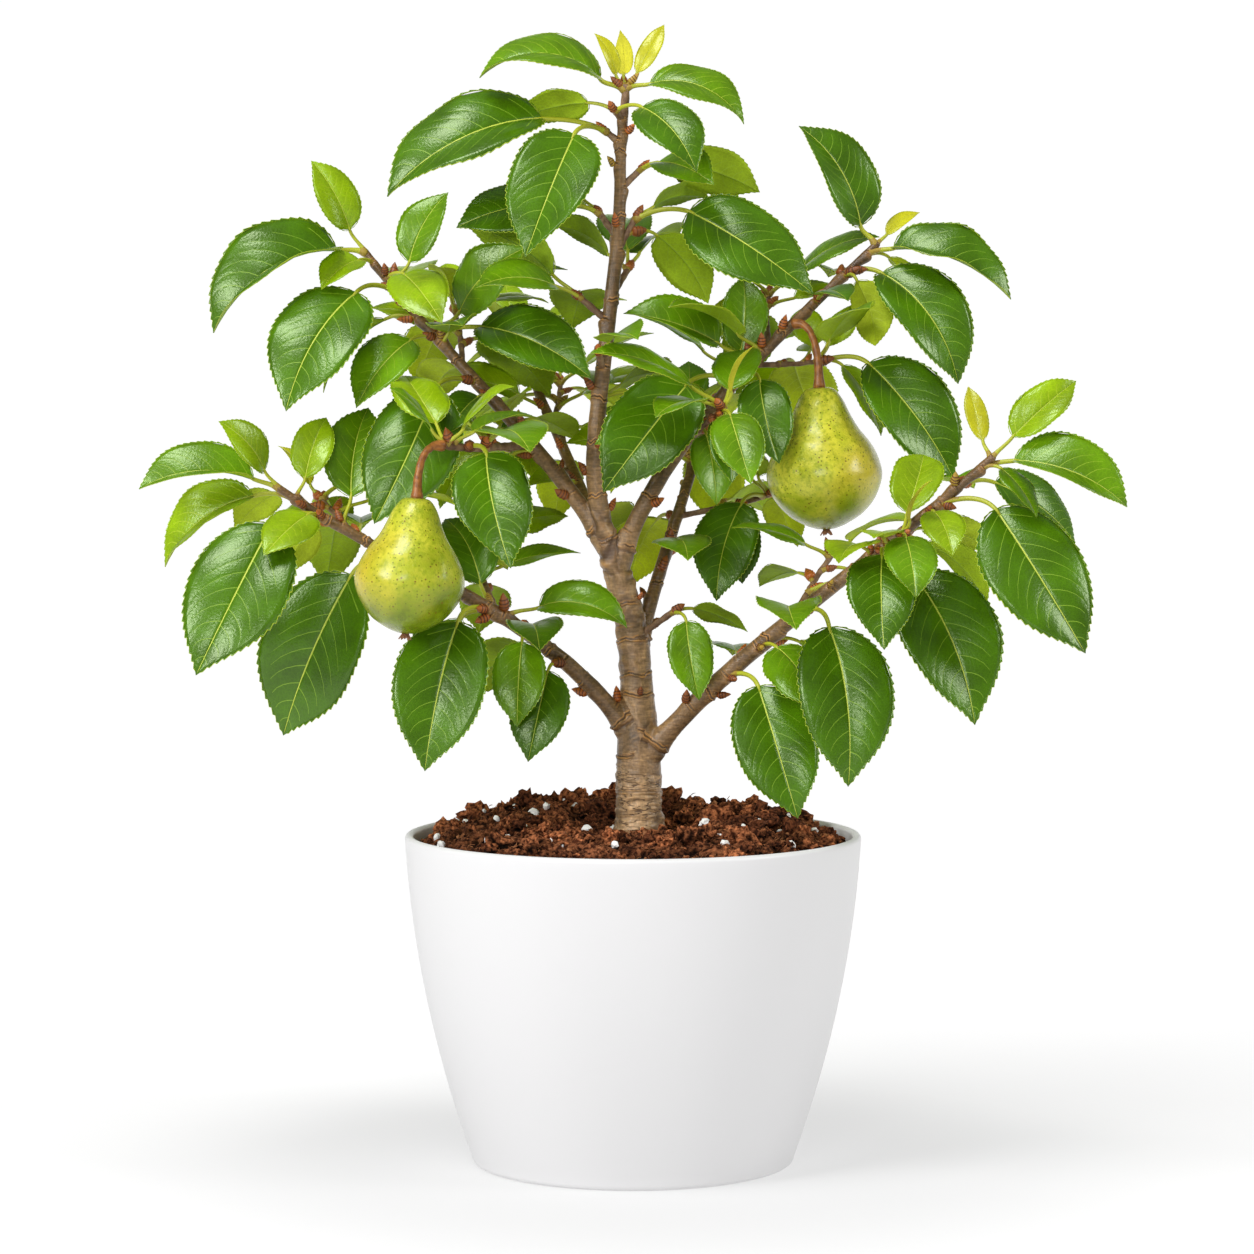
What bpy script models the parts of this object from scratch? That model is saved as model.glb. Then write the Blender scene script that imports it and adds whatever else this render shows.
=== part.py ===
"""A young pear tree in a plain round pot: pot, soil, trunk, boughs and masses of foliage with two pears."""

import math
import random

import bmesh
import bpy
from mathutils import Vector
from mathutils.bvhtree import BVHTree

MM = 0.001
UP = Vector((0, 0, 1))
NEAR = Vector((0, -1, 0))  # the side of the plant that is seen from the front
GAP = 0.3 * MM  # clear space between solids that touch on the real plant

# Pot: a turned plastic shell that swells a little between its foot and its rim
POT_HEIGHT = 0.192
RIM_RADIUS = 0.1325
FOOT_RADIUS = 0.0925
SIDE_BULGE = 0.0075
POT_WALL = 0.005
POT_FLOOR = 0.006
FOOT_ROUND = 0.004
POT_STEPS = 36

# Soil: fills the pot, low at the wall, with a ring of heaped clods round a level patch under the trunk
SOIL_AT_WALL = 0.184
SOIL_HEAP = 0.0135
SOIL_HEAP_BEHIND = 0.4
SOIL_LUMPS = 0.0025
SOIL_PATCH = 0.021

# Trunk: height above the soil, lean to the right, lean to the back and radius, in millimetres
TRUNK_STATIONS = (
    (0, 4, 0, 15.4),
    (12, 3.5, 0, 13.9),
    (50, 3, 1, 12.6),
    (80, 2.5, 2, 9.9),
    (125, -2, 3, 9.0),
    (160, -12, 2, 7.6),
    (180, -18.5, 0, 6.0),
    (222, -22, -3, 5.3),
    (255, -19, -3, 4.6),
    (305, -13, 0, 4.2),
    (355, -8, 2, 3.8),
    (395, -7, 1, 3.1),
    (418, -5, 0, 2.6),
)
TRUNK_RINGS = 24

# Boughs: height on the trunk, headings and rises at foot, middle and tip in degrees, length, radius at
# foot and tip, share that is bare. Heading 0 is to the right, 90 to the back, 180 to the left.
BOUGHS = {
    "lower_right": (39, (-22, -26, -24), (50, 37, 41), 284, 6.2, 2.4, 0.24),
    "lower_left": (50, (190, 193, 190), (60, 30, 36), 262, 5.4, 2.3, 0.20),
    "upper_left": (166, (174, 168, 164), (58, 47, 52), 226, 5.2, 2.2, 0.22),
    "upper_right": (153, (6, 12, 8), (72, 47, 44), 248, 5.4, 2.3, 0.20),
    "rear_right": (100, (50, 66, 76), (68, 50, 32), 226, 4.5, 2.0, 0.24),
    "rear_left": (128, (128, 116, 108), (60, 44, 32), 228, 4.7, 2.0, 0.22),
}
BOUGH_STEPS = 12
LIMB_RING_SPACING = 0.022

# Side twigs: share of the bough, heading, rise, length in millimetres, radius at the foot
SIDE_TWIGS = {
    "lower_right": ((0.46, 62, 34, 62, 1.9), (0.66, 300, 22, 40, 1.7)),
    "lower_left": ((0.44, 112, 36, 60, 1.9), (0.80, 128, 30, 40, 1.7)),
    "upper_left": ((0.33, 238, -1, 86, 2.5), (0.60, 96, 34, 58, 1.8)),
    "upper_right": ((0.34, 296, 22, 52, 2.0), (0.58, 14, 2, 42, 1.7), (0.64, 90, 34, 56, 1.8)),
    "rear_right": ((0.42, 4, 12, 58, 1.8), (0.60, 96, 26, 46, 1.8)),
    "rear_left": ((0.44, 176, 20, 56, 1.8), (0.62, 84, 30, 50, 1.8)),
}

# Spurs on the trunk's upper part: height on it, heading, rise, length, and leaves that the rule adds
SPURS = {
    "spur_a": (398, 186, 40, 10, 0),
    "spur_b": (411, 240, 30, 10, 1),
    "spur_c": (372, 20, 44, 14, 1),
    "spur_d": (336, 16, 60, 20, 1),
    "spur_e": (344, 126, 40, 20, 3),
    "spur_f": (310, 60, 42, 22, 3),
    "spur_g": (296, 176, 40, 18, 3),
    "spur_h": (268, 262, 34, 14, 2),
    "spur_i": (236, 84, 40, 20, 3),
    "spur_j": (112, 338, 34, 22, 0),
}

# Leaves that give the crown its outline: share of the stem, heading, rise, length in millimetres, how
# far the face turns to the front (below 0 to the back), and for some their own arch, fold and petiole
SHOWN_LEAVES = {
    "lower_right": (
        (1.00, 6, 42, 49, 1, 42, 26), (0.96, -13, -20, 73, 0.7, 62, 30, 0.27), (0.90, 22, -33, 66, 1),
        (0.85, -30, -55, 98, 1.2), (0.99, 124, 66, 34, 1), (0.36, -60, -38, 60, 1),
        (0.88, -62, -54, 42, -1), (0.65, -41, -62, 96, 1.2), (0.49, -66, -75, 93, 1),
        (0.42, -74, -60, 40, -1), (0.27, -52, -64, 83, 1.2),
    ),
    "lower_left": (
        (0.66, 157, -65, 106, 1.2), (1.00, 187, -5, 68, 0.5, 62, 30, 0.24), (1.0, 216, 43, 42, 1),
        (0.95, 166, -38, 70, 0.7, 56, 24), (0.88, 220, -58, 100, 1.1), (0.85, 150, -50, 42, -1),
        (0.83, 72, 62, 60, 1), (0.95, 60, 58, 42, 1), (0.45, 122, 42, 58, 1),
        (0.46, 238, -68, 91, 1.2), (0.36, 262, -70, 52, 1), (0.42, -12, -12, 59, 0.9, 88, 26),
        (0.25, 240, -66, 57, 1),
    ),
    "upper_left": (
        (1.00, 198, -33, 99, 0.6, 90, 32, 0.18), (1.00, 190, 61, 47, 1, 42, 28), (0.86, 227, -50, 90, 1.2),
        (0.90, 300, -30, 58, 1), (0.69, 222, -44, 58, 1), (0.70, -30, 40, 60, 1.6),
        (0.70, -24, -22, 80, 1.0, 58, 24), (0.54, 224, -58, 92, 1.2), (0.88, 14, 60, 48, 1),
    ),
    "upper_left twig 0": ((0.75, 292, -58, 76, 1.2),),
    "upper_right": (
        (1.00, 176, 58, 71, 0.8, 54, 28, 0.2), (0.96, -10, -24, 80, 0.6, 76, 32, 0.2),
        (0.90, -23, -53, 86, 0.9, 70, 28, 0.24), (0.88, -60, -62, 45, -1), (1.00, 24, 30, 28, 1),
        (0.52, 214, -46, 88, 1.2), (0.58, 190, 18, 62, 1, 56, 24), (0.38, 290, -66, 46, 1),
        (0.55, 300, -66, 54, 1), (0.54, 84, 70, 48, 1),
    ),
    "upper_right twig 0": ((0.85, 290, -50, 52, 1),),
    "upper_right twig 1": ((0.95, -18, -51, 87, 1), (0.86, -40, -64, 74, 1)),
    "rear_right": ((0.38, 236, -70, 44, 1),),
    "rear_right twig 0": ((0.92, -38, -56, 62, 1), (0.90, 236, -64, 64, 1)),
    "spur_a": ((1.0, 233, -57, 86, 1.2), (1.0, 190, -26, 107, 0.8, 66, 24)),
    "spur_b": ((1.0, 314, -40, 60, 1.2),),
    "spur_c": ((1.0, 16, -16, 58, -1.2),),
    "spur_d": ((1.0, 342, -32, 92, 1.4, 50, 20), (0.5, 20, -50, 52, -1)),
    "spur_j": ((1.0, 300, -72, 48, 1), (1.0, 10, -24, 36, -0.6)),
    "top": (
        (0.84, 190, 1, 80, 0.65, 94, 30, 0.2), (0.92, 350, -23, 65, 0.7, 80, 30, 0.22),
        (1.0, 200, 62, 28, 1), (0.94, 20, 60, 34, 1), (0.90, 100, 66, 30, -1),
    ),
}

# Leaves that the rule adds: turn from one to the next round the stem, spacing along it, length at the
# stem's foot and tip
LEAF_TURN = 137.5
LEAF_SPACING = 0.021
LEAF_LENGTHS = (0.070, 0.050)
TIP_LEAF = 0.036
LEAF_TRIES = 9
SHOWN_SWING = 0.4
MASS_REACH = 0.150
SEED = 24

# Leaf: blade width and thickness, petiole and fold as shares of the blade's length or in metres
LEAF_WIDTH = 0.62
LEAF_THICKNESS = 0.0125
PETIOLE_SHARE = 0.36
PETIOLE_RADIUS = 0.001
PETIOLE_RISE = 24
ROOT_INSET = 0.0025
LEAF_ARCH = 42
LEAF_FOLD = 16
LEAF_STATIONS = ((0.12, 0.70), (0.50, 1.0))
LEAF_CLEARANCE = 0.0008
TREE_SIDES = 10

# Pears: profile down the side as shares of length and radius; the mass that bears each, the share of its
# twig, the heading and lengths of the stalk's run and drop, and the pear's length
PEAR_SLIMNESS = 0.40
PEAR_PROFILE = (
    (0.0, 0.0), (0.0, 0.14), (0.02, 0.27), (0.10, 0.41), (0.20, 0.52), (0.30, 0.65), (0.42, 0.86),
    (0.58, 1.0), (0.70, 0.975), (0.80, 0.86), (0.90, 0.65), (0.97, 0.36), (1.0, 0.16), (0.975, 0.0),
)
PEAR_STEPS = 12
PEARS = {
    "upper_left": ("twig 0", 1.0, 216, 18, 30, 76, 5),
    "upper_right": ("stem", 0.72, 322, 19, 38, 82, -3),
}
STALK_RADIUS = 0.0024
PEAR_VIEW = (25, 50, 75, 100)  # how far in front of a pear the rule keeps its leaves out, in millimetres


def direction(heading, rise):
    """Unit vector at a compass heading and a rise above level, both in degrees."""
    flat = math.cos(math.radians(rise))
    turn = math.radians(heading)
    return Vector((math.cos(turn) * flat, math.sin(turn) * flat, math.sin(math.radians(rise))))


def through_three(values, share):
    """Value at a share of the way on the parabola through foot, middle and tip values."""
    foot, middle, tip = values
    near_foot = foot * (1 - share) * (1 - 2 * share)
    return near_foot + middle * 4 * share * (1 - share) + tip * share * (2 * share - 1)


def smooth_row(rows, where):
    """Row of values at a place along rows that are sorted by their first value, on a smooth curve."""
    last = len(rows) - 1
    index = max(i for i in range(last) if i == 0 or rows[i][0] <= where)
    before, here, there, after = (rows[min(max(index + k, 0), last)] for k in (-1, 0, 1, 2))
    span = there[0] - here[0]
    t = (where - here[0]) / span
    values = []
    for a, b, c, d in list(zip(before, here, there, after))[1:]:
        slope_in = (c - a) / (there[0] - before[0]) * span
        slope_out = (d - b) / (after[0] - here[0]) * span
        bend = (2 * t**3 - 3 * t**2) * (b - c) + (t**3 - 2 * t**2 + t) * slope_in
        values.append(b + bend + (t**3 - t**2) * slope_out)
    return values


class Limb:
    """A tapering limb, from the points along its middle and the radius at its foot and tip."""

    def __init__(self, points, foot_radius, tip_radius):
        self.points = points
        self.radii = (foot_radius, tip_radius)

    def at(self, share):
        """Middle point, direction and radius at a share of the limb's length."""
        place = min(max(share, 0.0), 1.0) * (len(self.points) - 1)
        index = min(int(place), len(self.points) - 2)
        start, end = self.points[index], self.points[index + 1]
        foot, tip = self.radii
        return start.lerp(end, place - index), (end - start).normalized(), foot + (tip - foot) * share

    def stations(self, first, last, count):
        """Middle points and radii of a stretch of the limb."""
        shares = [first + (last - first) * i / (count - 1) for i in range(count)]
        return [(self.at(share)[0], self.at(share)[2]) for share in shares]

    def length(self):
        return sum((b - a).length for a, b in zip(self.points, self.points[1:]))


def grow_limb(start, headings, rises, length, foot_radius, tip_radius, steps=BOUGH_STEPS):
    """Limb that leaves its start and follows headings and rises given at foot, middle and tip."""
    points = [start]
    for step in range(steps):
        share = (step + 0.5) / steps
        ahead = direction(through_three(headings, share), through_three(rises, share))
        points.append(points[-1] + ahead * (length / steps))
    return Limb(points, foot_radius, tip_radius)


def trunk_at(height):
    """Middle of the trunk and its radius at a height above the soil in millimetres."""
    right, back, radius = smooth_row(TRUNK_STATIONS, height)
    return Vector((right * MM, back * MM, POT_HEIGHT + height * MM)), radius * MM


def trunk_stations():
    top = TRUNK_STATIONS[-1][0]
    return [trunk_at(top * (i / (TRUNK_RINGS - 1)) ** 1.15) for i in range(TRUNK_RINGS)]


class Leaf:
    """A leaf: the petiole's curve, and the blade's place, direction, bend and size."""

    def __init__(self, root, stem_ahead, heading, rise, length, face,
                 arch=LEAF_ARCH, fold=LEAF_FOLD, petiole=PETIOLE_SHARE):
        self.length = length
        self.arch, self.fold = math.radians(arch), math.radians(fold)
        self.ahead = direction(heading, rise)
        towards = UP + NEAR * face
        self.top = (towards - self.ahead * towards.dot(self.ahead)).normalized()
        self.side = self.top.cross(self.ahead)
        reach = petiole * length
        run = direction(heading, PETIOLE_RISE + 0.5 * rise)
        base = root + run * reach
        out = (stem_ahead * 0.4 + run * 1.3 + UP * 0.35).normalized()
        self.petiole = (root, root + out * reach * 0.4, base - self.tangent(0) * reach * 0.35, base)

    def tangent(self, share):
        angle = self.arch * (0.5 - share)
        return self.ahead * math.cos(angle) + self.top * math.sin(angle)

    def normal(self, share):
        angle = self.arch * (0.5 - share)
        return self.top * math.cos(angle) - self.ahead * math.sin(angle)

    def petiole_point(self, share):
        a, b, c, d = self.petiole
        left = 1 - share
        return a * left**3 + b * 3 * left**2 * share + c * 3 * left * share**2 + d * share**3

    def blade_point(self, share):
        """Point on the midrib, which is an arc that droops from its base to its tip."""
        half, here = self.arch / 2, self.arch * (0.5 - share)
        forward = math.sin(half) - math.sin(here)
        lift = math.cos(here) - math.cos(half)
        return self.petiole[3] + (self.ahead * forward + self.top * lift) * (self.length / self.arch)

    def rings(self, swell=0.0):
        """Rings of four points from the petiole's root to the leaf's tip, swollen by a clearance."""
        rings = []
        for share in (0.0, 0.5, 1.0):
            middle, round_it = self.petiole_point(share), PETIOLE_RADIUS + swell
            axes = (-self.side, self.top, self.side, -self.top)
            rings.append([middle + axis * round_it for axis in axes])
        half_thick = max(LEAF_THICKNESS * self.length, MM) / 2 + swell
        for share, width in LEAF_STATIONS:
            middle, normal = self.blade_point(share), self.normal(share)
            half = LEAF_WIDTH * self.length * width / 2 + swell
            edge = normal * half * math.sin(self.fold)
            across = self.side * half * math.cos(self.fold)
            rings.append(
                [middle - across + edge, middle + normal * half_thick, middle + across + edge,
                 middle - normal * half_thick]
            )
        return rings, self.blade_point(1.0)


def loft_mesh(rings, tip):
    """Closed mesh through rings of points, with a flat start and a pointed end."""
    mesh = bmesh.new()
    lofted = [[mesh.verts.new(point) for point in ring] for ring in rings]
    end = mesh.verts.new(tip)
    mesh.faces.new(lofted[0])
    for ring, following in zip(lofted, lofted[1:]):
        for i in range(len(ring)):
            j = (i + 1) % len(ring)
            mesh.faces.new((ring[i], ring[j], following[j], following[i]))
    for i, vertex in enumerate(lofted[-1]):
        mesh.faces.new((vertex, lofted[-1][(i + 1) % len(lofted[-1])], end))
    bmesh.ops.recalc_face_normals(mesh, faces=mesh.faces)
    return mesh


def search_tree(rings, tip):
    mesh = loft_mesh(rings, tip)
    tree = BVHTree.FromBMesh(mesh)
    mesh.free()
    return tree


def tube_tree(stations, swell=LEAF_CLEARANCE):
    """Search tree of a limb's outside, grown by a clearance."""
    rings = []
    for (point, radius), (ahead_of, _) in zip(stations, stations[1:] + stations[-1:]):
        ahead = (ahead_of - point) if ahead_of != point else (point - stations[-2][0])
        side = ahead.orthogonal().normalized()
        other = ahead.normalized().cross(side)
        turns = [math.radians(360 * i / TREE_SIDES) for i in range(TREE_SIDES)]
        reach = radius + swell
        rings.append([point + (side * math.cos(turn) + other * math.sin(turn)) * reach for turn in turns])
    return search_tree(rings, stations[-1][0] + (stations[-1][0] - stations[-2][0]).normalized() * MM)


class Mass:
    """A mass of foliage: its stem, its side twigs, its leaves and the pear that hangs in it."""

    def __init__(self, name, stem, bare):
        self.name, self.stem, self.bare = name, stem, bare
        self.twigs, self.leaves, self.pear = [], [], None

    def add_twig(self, share, heading, rise, length, radius):
        start = self.stem.at(share)[0]
        heading_of_stem = math.degrees(math.atan2(*reversed(self.stem.at(share)[1].xy)))
        bend = heading + 0.2 * ((heading_of_stem - heading + 180) % 360 - 180)
        foot = radius * MM
        headings, rises = (heading, heading, bend), (rise, rise, rise + 8)
        twig = grow_limb(start, headings, rises, length * MM, foot, foot * 0.8, 4)
        self.twigs.append(twig)
        taken.append(tube_tree(twig.stations(0.1, 1.0, 4)))

    def add_leaf(self, limb, share, heading, rise, length, face, rng, swing=1.0, shape=()):
        """Puts a leaf on a limb, turned a little till it keeps clear of all else, or leaves it out."""
        root, ahead, _ = limb.at(min(share, 1 - ROOT_INSET / limb.length()))
        for _ in range(LEAF_TRIES):
            leaf = Leaf(root, ahead, heading, rise, length, face, *shape)
            rings, tip = leaf.rings(LEAF_CLEARANCE)
            tree = search_tree(rings[1:], tip)
            near = min((tip - self.stem.at(i / 8)[0]).length for i in range(9)) < MASS_REACH
            if near and not any(tree.overlap(other) for other in taken):
                taken.append(tree)
                self.leaves.append(leaf)
                return
            heading += rng.uniform(-24, 24) * swing
            rise += rng.uniform(-14, 14) * swing
            length *= 1 - rng.uniform(0, 0.1) * swing

    def add_by_rule(self, limb, first, count, rng):
        """Leaves set round a limb at an even turn and spacing, and a tuft at its tip."""
        turn = rng.uniform(0, 360)
        for number in range(count):
            share = first + (1 - first) * (number + 0.5) / count
            _, ahead, _ = limb.at(share)
            level = ahead.cross(UP).normalized()
            turn += LEAF_TURN + rng.uniform(-12, 12)
            out = level * math.cos(math.radians(turn)) + level.cross(ahead) * math.sin(math.radians(turn))
            flat = out.xy.normalized() * 0.9 + ahead.xy * 0.7
            heading = math.degrees(math.atan2(flat.y, flat.x))
            rise = -22 + 34 * out.z + rng.uniform(-16, 16)
            inner, outer = LEAF_LENGTHS
            length = (inner + (outer - inner) * share) * rng.uniform(0.74, 1.14)
            self.add_leaf(limb, share, heading, rise, length, 1.1 * out.dot(NEAR), rng)

    def add_tuft(self, limb, rng):
        """Young leaves that stand up round a limb's tip."""
        _, ahead, _ = limb.at(1.0)
        heading = math.degrees(math.atan2(ahead.y, ahead.x)) + rng.uniform(-20, 20)
        for number in range(3):
            rise = 50 - 16 * number + rng.uniform(-10, 10)
            length = TIP_LEAF * (1 + 0.3 * number) * rng.uniform(0.85, 1.15)
            self.add_leaf(limb, 1.0, heading + 125 * number, rise, length, 0.4, rng)


def pear_curve(mass, where, share, heading, run, drop):
    """The stalk's bow from its twig to the top of its pear."""
    limb = mass.twigs[int(where[-1])] if where.startswith("twig") else mass.stem
    start = limb.at(share)[0]
    top = start + direction(heading, 0) * run * MM - UP * drop * MM
    bow = start + direction(heading, 0) * run * MM + UP * 4 * MM
    stations = []
    for i in range(6):
        t = i / 5
        point = start * (1 - t) ** 2 + bow * 2 * t * (1 - t) + top * t**2
        stations.append((point, STALK_RADIUS * (1 + 0.5 * (2 * t - 1) ** 2)))
    return stations


def plan_crown():
    """Boughs and masses, first with what the front shows and then with what the rule adds."""
    taken.append(tube_tree(trunk_stations()))
    rim = [(Vector((0, 0, z)), RIM_RADIUS + 4 * MM) for z in (0.1, POT_HEIGHT + 0.012)]
    taken.append(tube_tree(rim))
    boughs, masses = {}, []
    for name, (height, headings, rises, length, foot, tip, bare) in BOUGHS.items():
        limb = grow_limb(trunk_at(height)[0], headings, rises, length * MM, foot * MM, tip * MM)
        boughs[name] = (limb, bare)
        taken.append(tube_tree(limb.stations(0.1, 1.0, 9)))
        masses.append(Mass(name, limb, bare))
    for name, (height, heading, rise, length, _) in SPURS.items():
        foot, radius = trunk_at(height)
        reach = radius + length * MM
        limb = grow_limb(foot, (heading,) * 3, (rise,) * 3, reach, 2.0 * MM, 1.7 * MM, 3)
        masses.append(Mass(name, limb, 0.0))
    (below, _), (tip, radius) = trunk_stations()[-2:]
    ahead = (tip - below).normalized() * 6 * MM
    top = Limb([tip - ahead, tip, tip + ahead, tip + ahead + UP * 8 * MM], radius * 1.02, radius * 0.8)
    masses.append(Mass("top", top, 1 / 3))

    in_front = []
    for mass in masses:
        for twig in SIDE_TWIGS.get(mass.name, ()):
            mass.add_twig(*twig)
        if mass.name in PEARS:
            where, share, heading, run, drop, size, tilt = PEARS[mass.name]
            mass.pear = (pear_curve(mass, where, share, heading, run, drop), size * MM, tilt)
            top = mass.pear[0][-1][0]
            down = Vector((-math.sin(math.radians(tilt)), 0, -math.cos(math.radians(tilt)))) * size * MM
            body = [(top + down * t, r * size * MM * PEAR_SLIMNESS) for t, r in PEAR_PROFILE[2:-2]]
            taken.append(tube_tree(body, 2 * MM))
            taken.append(tube_tree(mass.pear[0][2:]))
            for shift in PEAR_VIEW:
                in_front.append(tube_tree([(point + NEAR * shift * MM, r * 0.8) for point, r in body]))
    rng = random.Random(SEED)
    for mass in masses:
        for number, limb in enumerate([mass.stem] + mass.twigs):
            name = f"{mass.name} twig {number - 1}" if number else mass.name
            for share, heading, rise, length, face, *shape in SHOWN_LEAVES.get(name, ()):
                mass.add_leaf(limb, share, heading, rise, length * MM, face, rng, SHOWN_SWING, shape)
    taken.extend(in_front)
    for number, mass in enumerate(masses):
        rng = random.Random(SEED + number)
        for twig in mass.twigs:
            mass.add_by_rule(twig, 0.3, 4, rng)
            mass.add_tuft(twig, rng)
        if mass.name in BOUGHS:
            count = int(mass.stem.length() * (1 - mass.bare) / LEAF_SPACING)
            if mass.name.startswith("rear"):
                mass.add_tuft(mass.stem, rng)
            mass.add_by_rule(mass.stem, mass.bare + 0.03, count, rng)
        elif mass.name in SPURS:
            for _ in range(SPURS[mass.name][4]):
                heading = SPURS[mass.name][1] + rng.uniform(-80, 80)
                length = rng.uniform(0.045, 0.068)
                face = math.copysign(0.9, -math.sin(math.radians(heading)))
                mass.add_leaf(mass.stem, 1.0, heading, rng.uniform(-35, 25), length, face, rng)
    return boughs, masses


def make_material(name, colour, roughness):
    material = bpy.data.materials.new(name)
    material.use_nodes = True
    shader = material.node_tree.nodes["Principled BSDF"]
    shader.inputs["Base Color"].default_value = (*colour, 1)
    shader.inputs["Roughness"].default_value = roughness
    shader.inputs["Metallic"].default_value = 0.0
    return material


def link(name, mesh, collection, material):
    thing = bpy.data.objects.new(name, mesh)
    collection.objects.link(thing)
    if not mesh.materials:
        mesh.materials.append(material)
    return thing


def from_bmesh(name, source, collection, material):
    mesh = bpy.data.meshes.new(name)
    source.to_mesh(mesh)
    source.free()
    return link(name, mesh, collection, material)


def evaluated_mesh(thing):
    """The thing's mesh with its modifiers or its bevel applied, and its caps welded on."""
    depsgraph = bpy.context.evaluated_depsgraph_get()
    mesh = bpy.data.meshes.new_from_object(thing.evaluated_get(depsgraph))
    welded = bmesh.new()
    welded.from_mesh(mesh)
    bmesh.ops.remove_doubles(welded, verts=welded.verts, dist=0.002 * MM)
    welded.to_mesh(mesh)
    welded.free()
    return mesh


def tube(name, stations, resolution, collection, material):
    """Round tapering tube with flat ends, of 4 + 2 * resolution sides."""
    curve = bpy.data.curves.new(name, "CURVE")
    curve.dimensions = "3D"
    curve.bevel_depth = 1.0
    curve.bevel_resolution = resolution
    curve.use_fill_caps = True
    spline = curve.splines.new("POLY")
    spline.points.add(len(stations) - 1)
    for point, (middle, radius) in zip(spline.points, stations):
        point.co = (*middle, 1)
        point.radius = radius
    drawn = bpy.data.objects.new(name + " curve", curve)
    collection.objects.link(drawn)
    mesh = evaluated_mesh(drawn)
    mesh.name = name
    mesh.shade_smooth()
    mesh.set_sharp_from_angle(angle=math.radians(50))
    bpy.data.objects.remove(drawn)
    bpy.data.curves.remove(curve)
    return link(name, mesh, collection, material)


def cut_flat(mesh, point, outwards):
    """Cuts off what lies past a plane, and closes the cut with a flat face."""
    cut = bmesh.new()
    cut.from_mesh(mesh)
    everything = cut.verts[:] + cut.edges[:] + cut.faces[:]
    result = bmesh.ops.bisect_plane(
        cut, geom=everything, plane_co=point, plane_no=outwards, clear_outer=True
    )
    rim = [item for item in result["geom_cut"] if isinstance(item, bmesh.types.BMEdge)]
    bmesh.ops.contextual_create(cut, geom=rim)
    cut.to_mesh(mesh)
    cut.free()


def turned(name, profile, steps, collection, material):
    """Closed turned body from a profile that runs from the axis, down the outside, to the axis."""
    outline = bmesh.new()
    corners = [outline.verts.new((radius, 0, height)) for radius, height in profile]
    for first, second in zip(corners, corners[1:]):
        outline.edges.new((first, second))
    thing = from_bmesh(name, outline, collection, material)
    screw = thing.modifiers.new("Turn", "SCREW")
    screw.steps = screw.render_steps = steps
    screw.use_merge_vertices = True
    screw.merge_threshold = 0.00001
    mesh = evaluated_mesh(thing)
    thing.modifiers.clear()
    thing.data = mesh
    mesh.shade_smooth()
    mesh.set_sharp_from_angle(angle=math.radians(40))
    return thing


def boolean(thing, operation, **operand):
    """Applies a Boolean of a thing with one object or with a collection of them."""
    modifier = thing.modifiers.new(operation, "BOOLEAN")
    modifier.operation = operation
    modifier.solver = "EXACT"
    modifier.material_mode = "TRANSFER"
    if "collection" in operand:
        modifier.operand_type = "COLLECTION"
    for key, value in operand.items():
        setattr(modifier, key, value)
    mesh = evaluated_mesh(thing)
    thing.modifiers.clear()
    thing.data = mesh


def side_radius(height):
    """Outer radius of the pot at a height."""
    share = height / POT_HEIGHT
    return FOOT_RADIUS + (RIM_RADIUS - FOOT_RADIUS) * share + 4 * SIDE_BULGE * share * (1 - share)


def make_pot(collection, material):
    profile = [(0, POT_FLOOR)]
    inner = [i / 6 * (POT_HEIGHT - POT_FLOOR - POT_WALL / 2) + POT_FLOOR for i in range(7)]
    profile += [(side_radius(height) - POT_WALL, height) for height in inner]
    for quarter in range(1, 4):
        angle = math.radians(180 - 45 * quarter)
        half = POT_WALL / 2
        middle = side_radius(POT_HEIGHT - half) - half
        profile.append((middle + half * math.cos(angle), POT_HEIGHT - half + half * math.sin(angle)))
    outer = [(i / 6) * (POT_HEIGHT - POT_WALL / 2 - FOOT_ROUND) + FOOT_ROUND for i in range(7)]
    profile += [(side_radius(height), height) for height in reversed(outer)]
    profile += [(FOOT_RADIUS - 0.3 * FOOT_ROUND, 0.3 * FOOT_ROUND), (FOOT_RADIUS - FOOT_ROUND, 0), (0, 0)]
    return turned("pot", profile, POT_STEPS, collection, material)


def soil_height(radius, turn):
    """Height of the soil's top at a radius and a turn round the pot."""
    wall = side_radius(SOIL_AT_WALL) - POT_WALL - GAP
    share = (radius - SOIL_PATCH) / (wall - SOIL_PATCH)
    if share <= 0:
        return POT_HEIGHT - GAP
    level = POT_HEIGHT - GAP + (SOIL_AT_WALL - POT_HEIGHT + GAP) * share
    lumps = math.sin(5 * turn + 9 * share) * math.cos(3 * turn - 4 * share)
    heap = SOIL_HEAP * (1 + SOIL_HEAP_BEHIND * math.sin(turn)) * share**0.5
    return level + math.sin(math.pi * share) * (heap + SOIL_LUMPS * lumps)


def make_soil(collection, material):
    """Turned body that fits the pot inside, its top heaped up in rings."""
    wall_inside = POT_WALL + GAP
    rings = 6
    top = side_radius(SOIL_AT_WALL) - wall_inside
    radii = [SOIL_PATCH + (top - SOIL_PATCH) * i / rings for i in range(rings)]
    profile = [(0, POT_HEIGHT - GAP)] + [(radius, POT_HEIGHT) for radius in radii]
    profile.append((top, SOIL_AT_WALL))
    low = POT_FLOOR + GAP
    heights = [low + (SOIL_AT_WALL - low) * i / 4 for i in (3, 2, 1, 0)]
    profile += [(side_radius(height) - wall_inside, height) for height in heights]
    profile.append((0, low))
    soil = turned("soil", profile, POT_STEPS, collection, material)
    for vertex in soil.data.vertices:
        x, y, z = vertex.co
        if z > SOIL_AT_WALL + 0.1 * MM:
            vertex.co.z = soil_height(math.hypot(x, y), math.atan2(y, x))
    return soil


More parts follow.
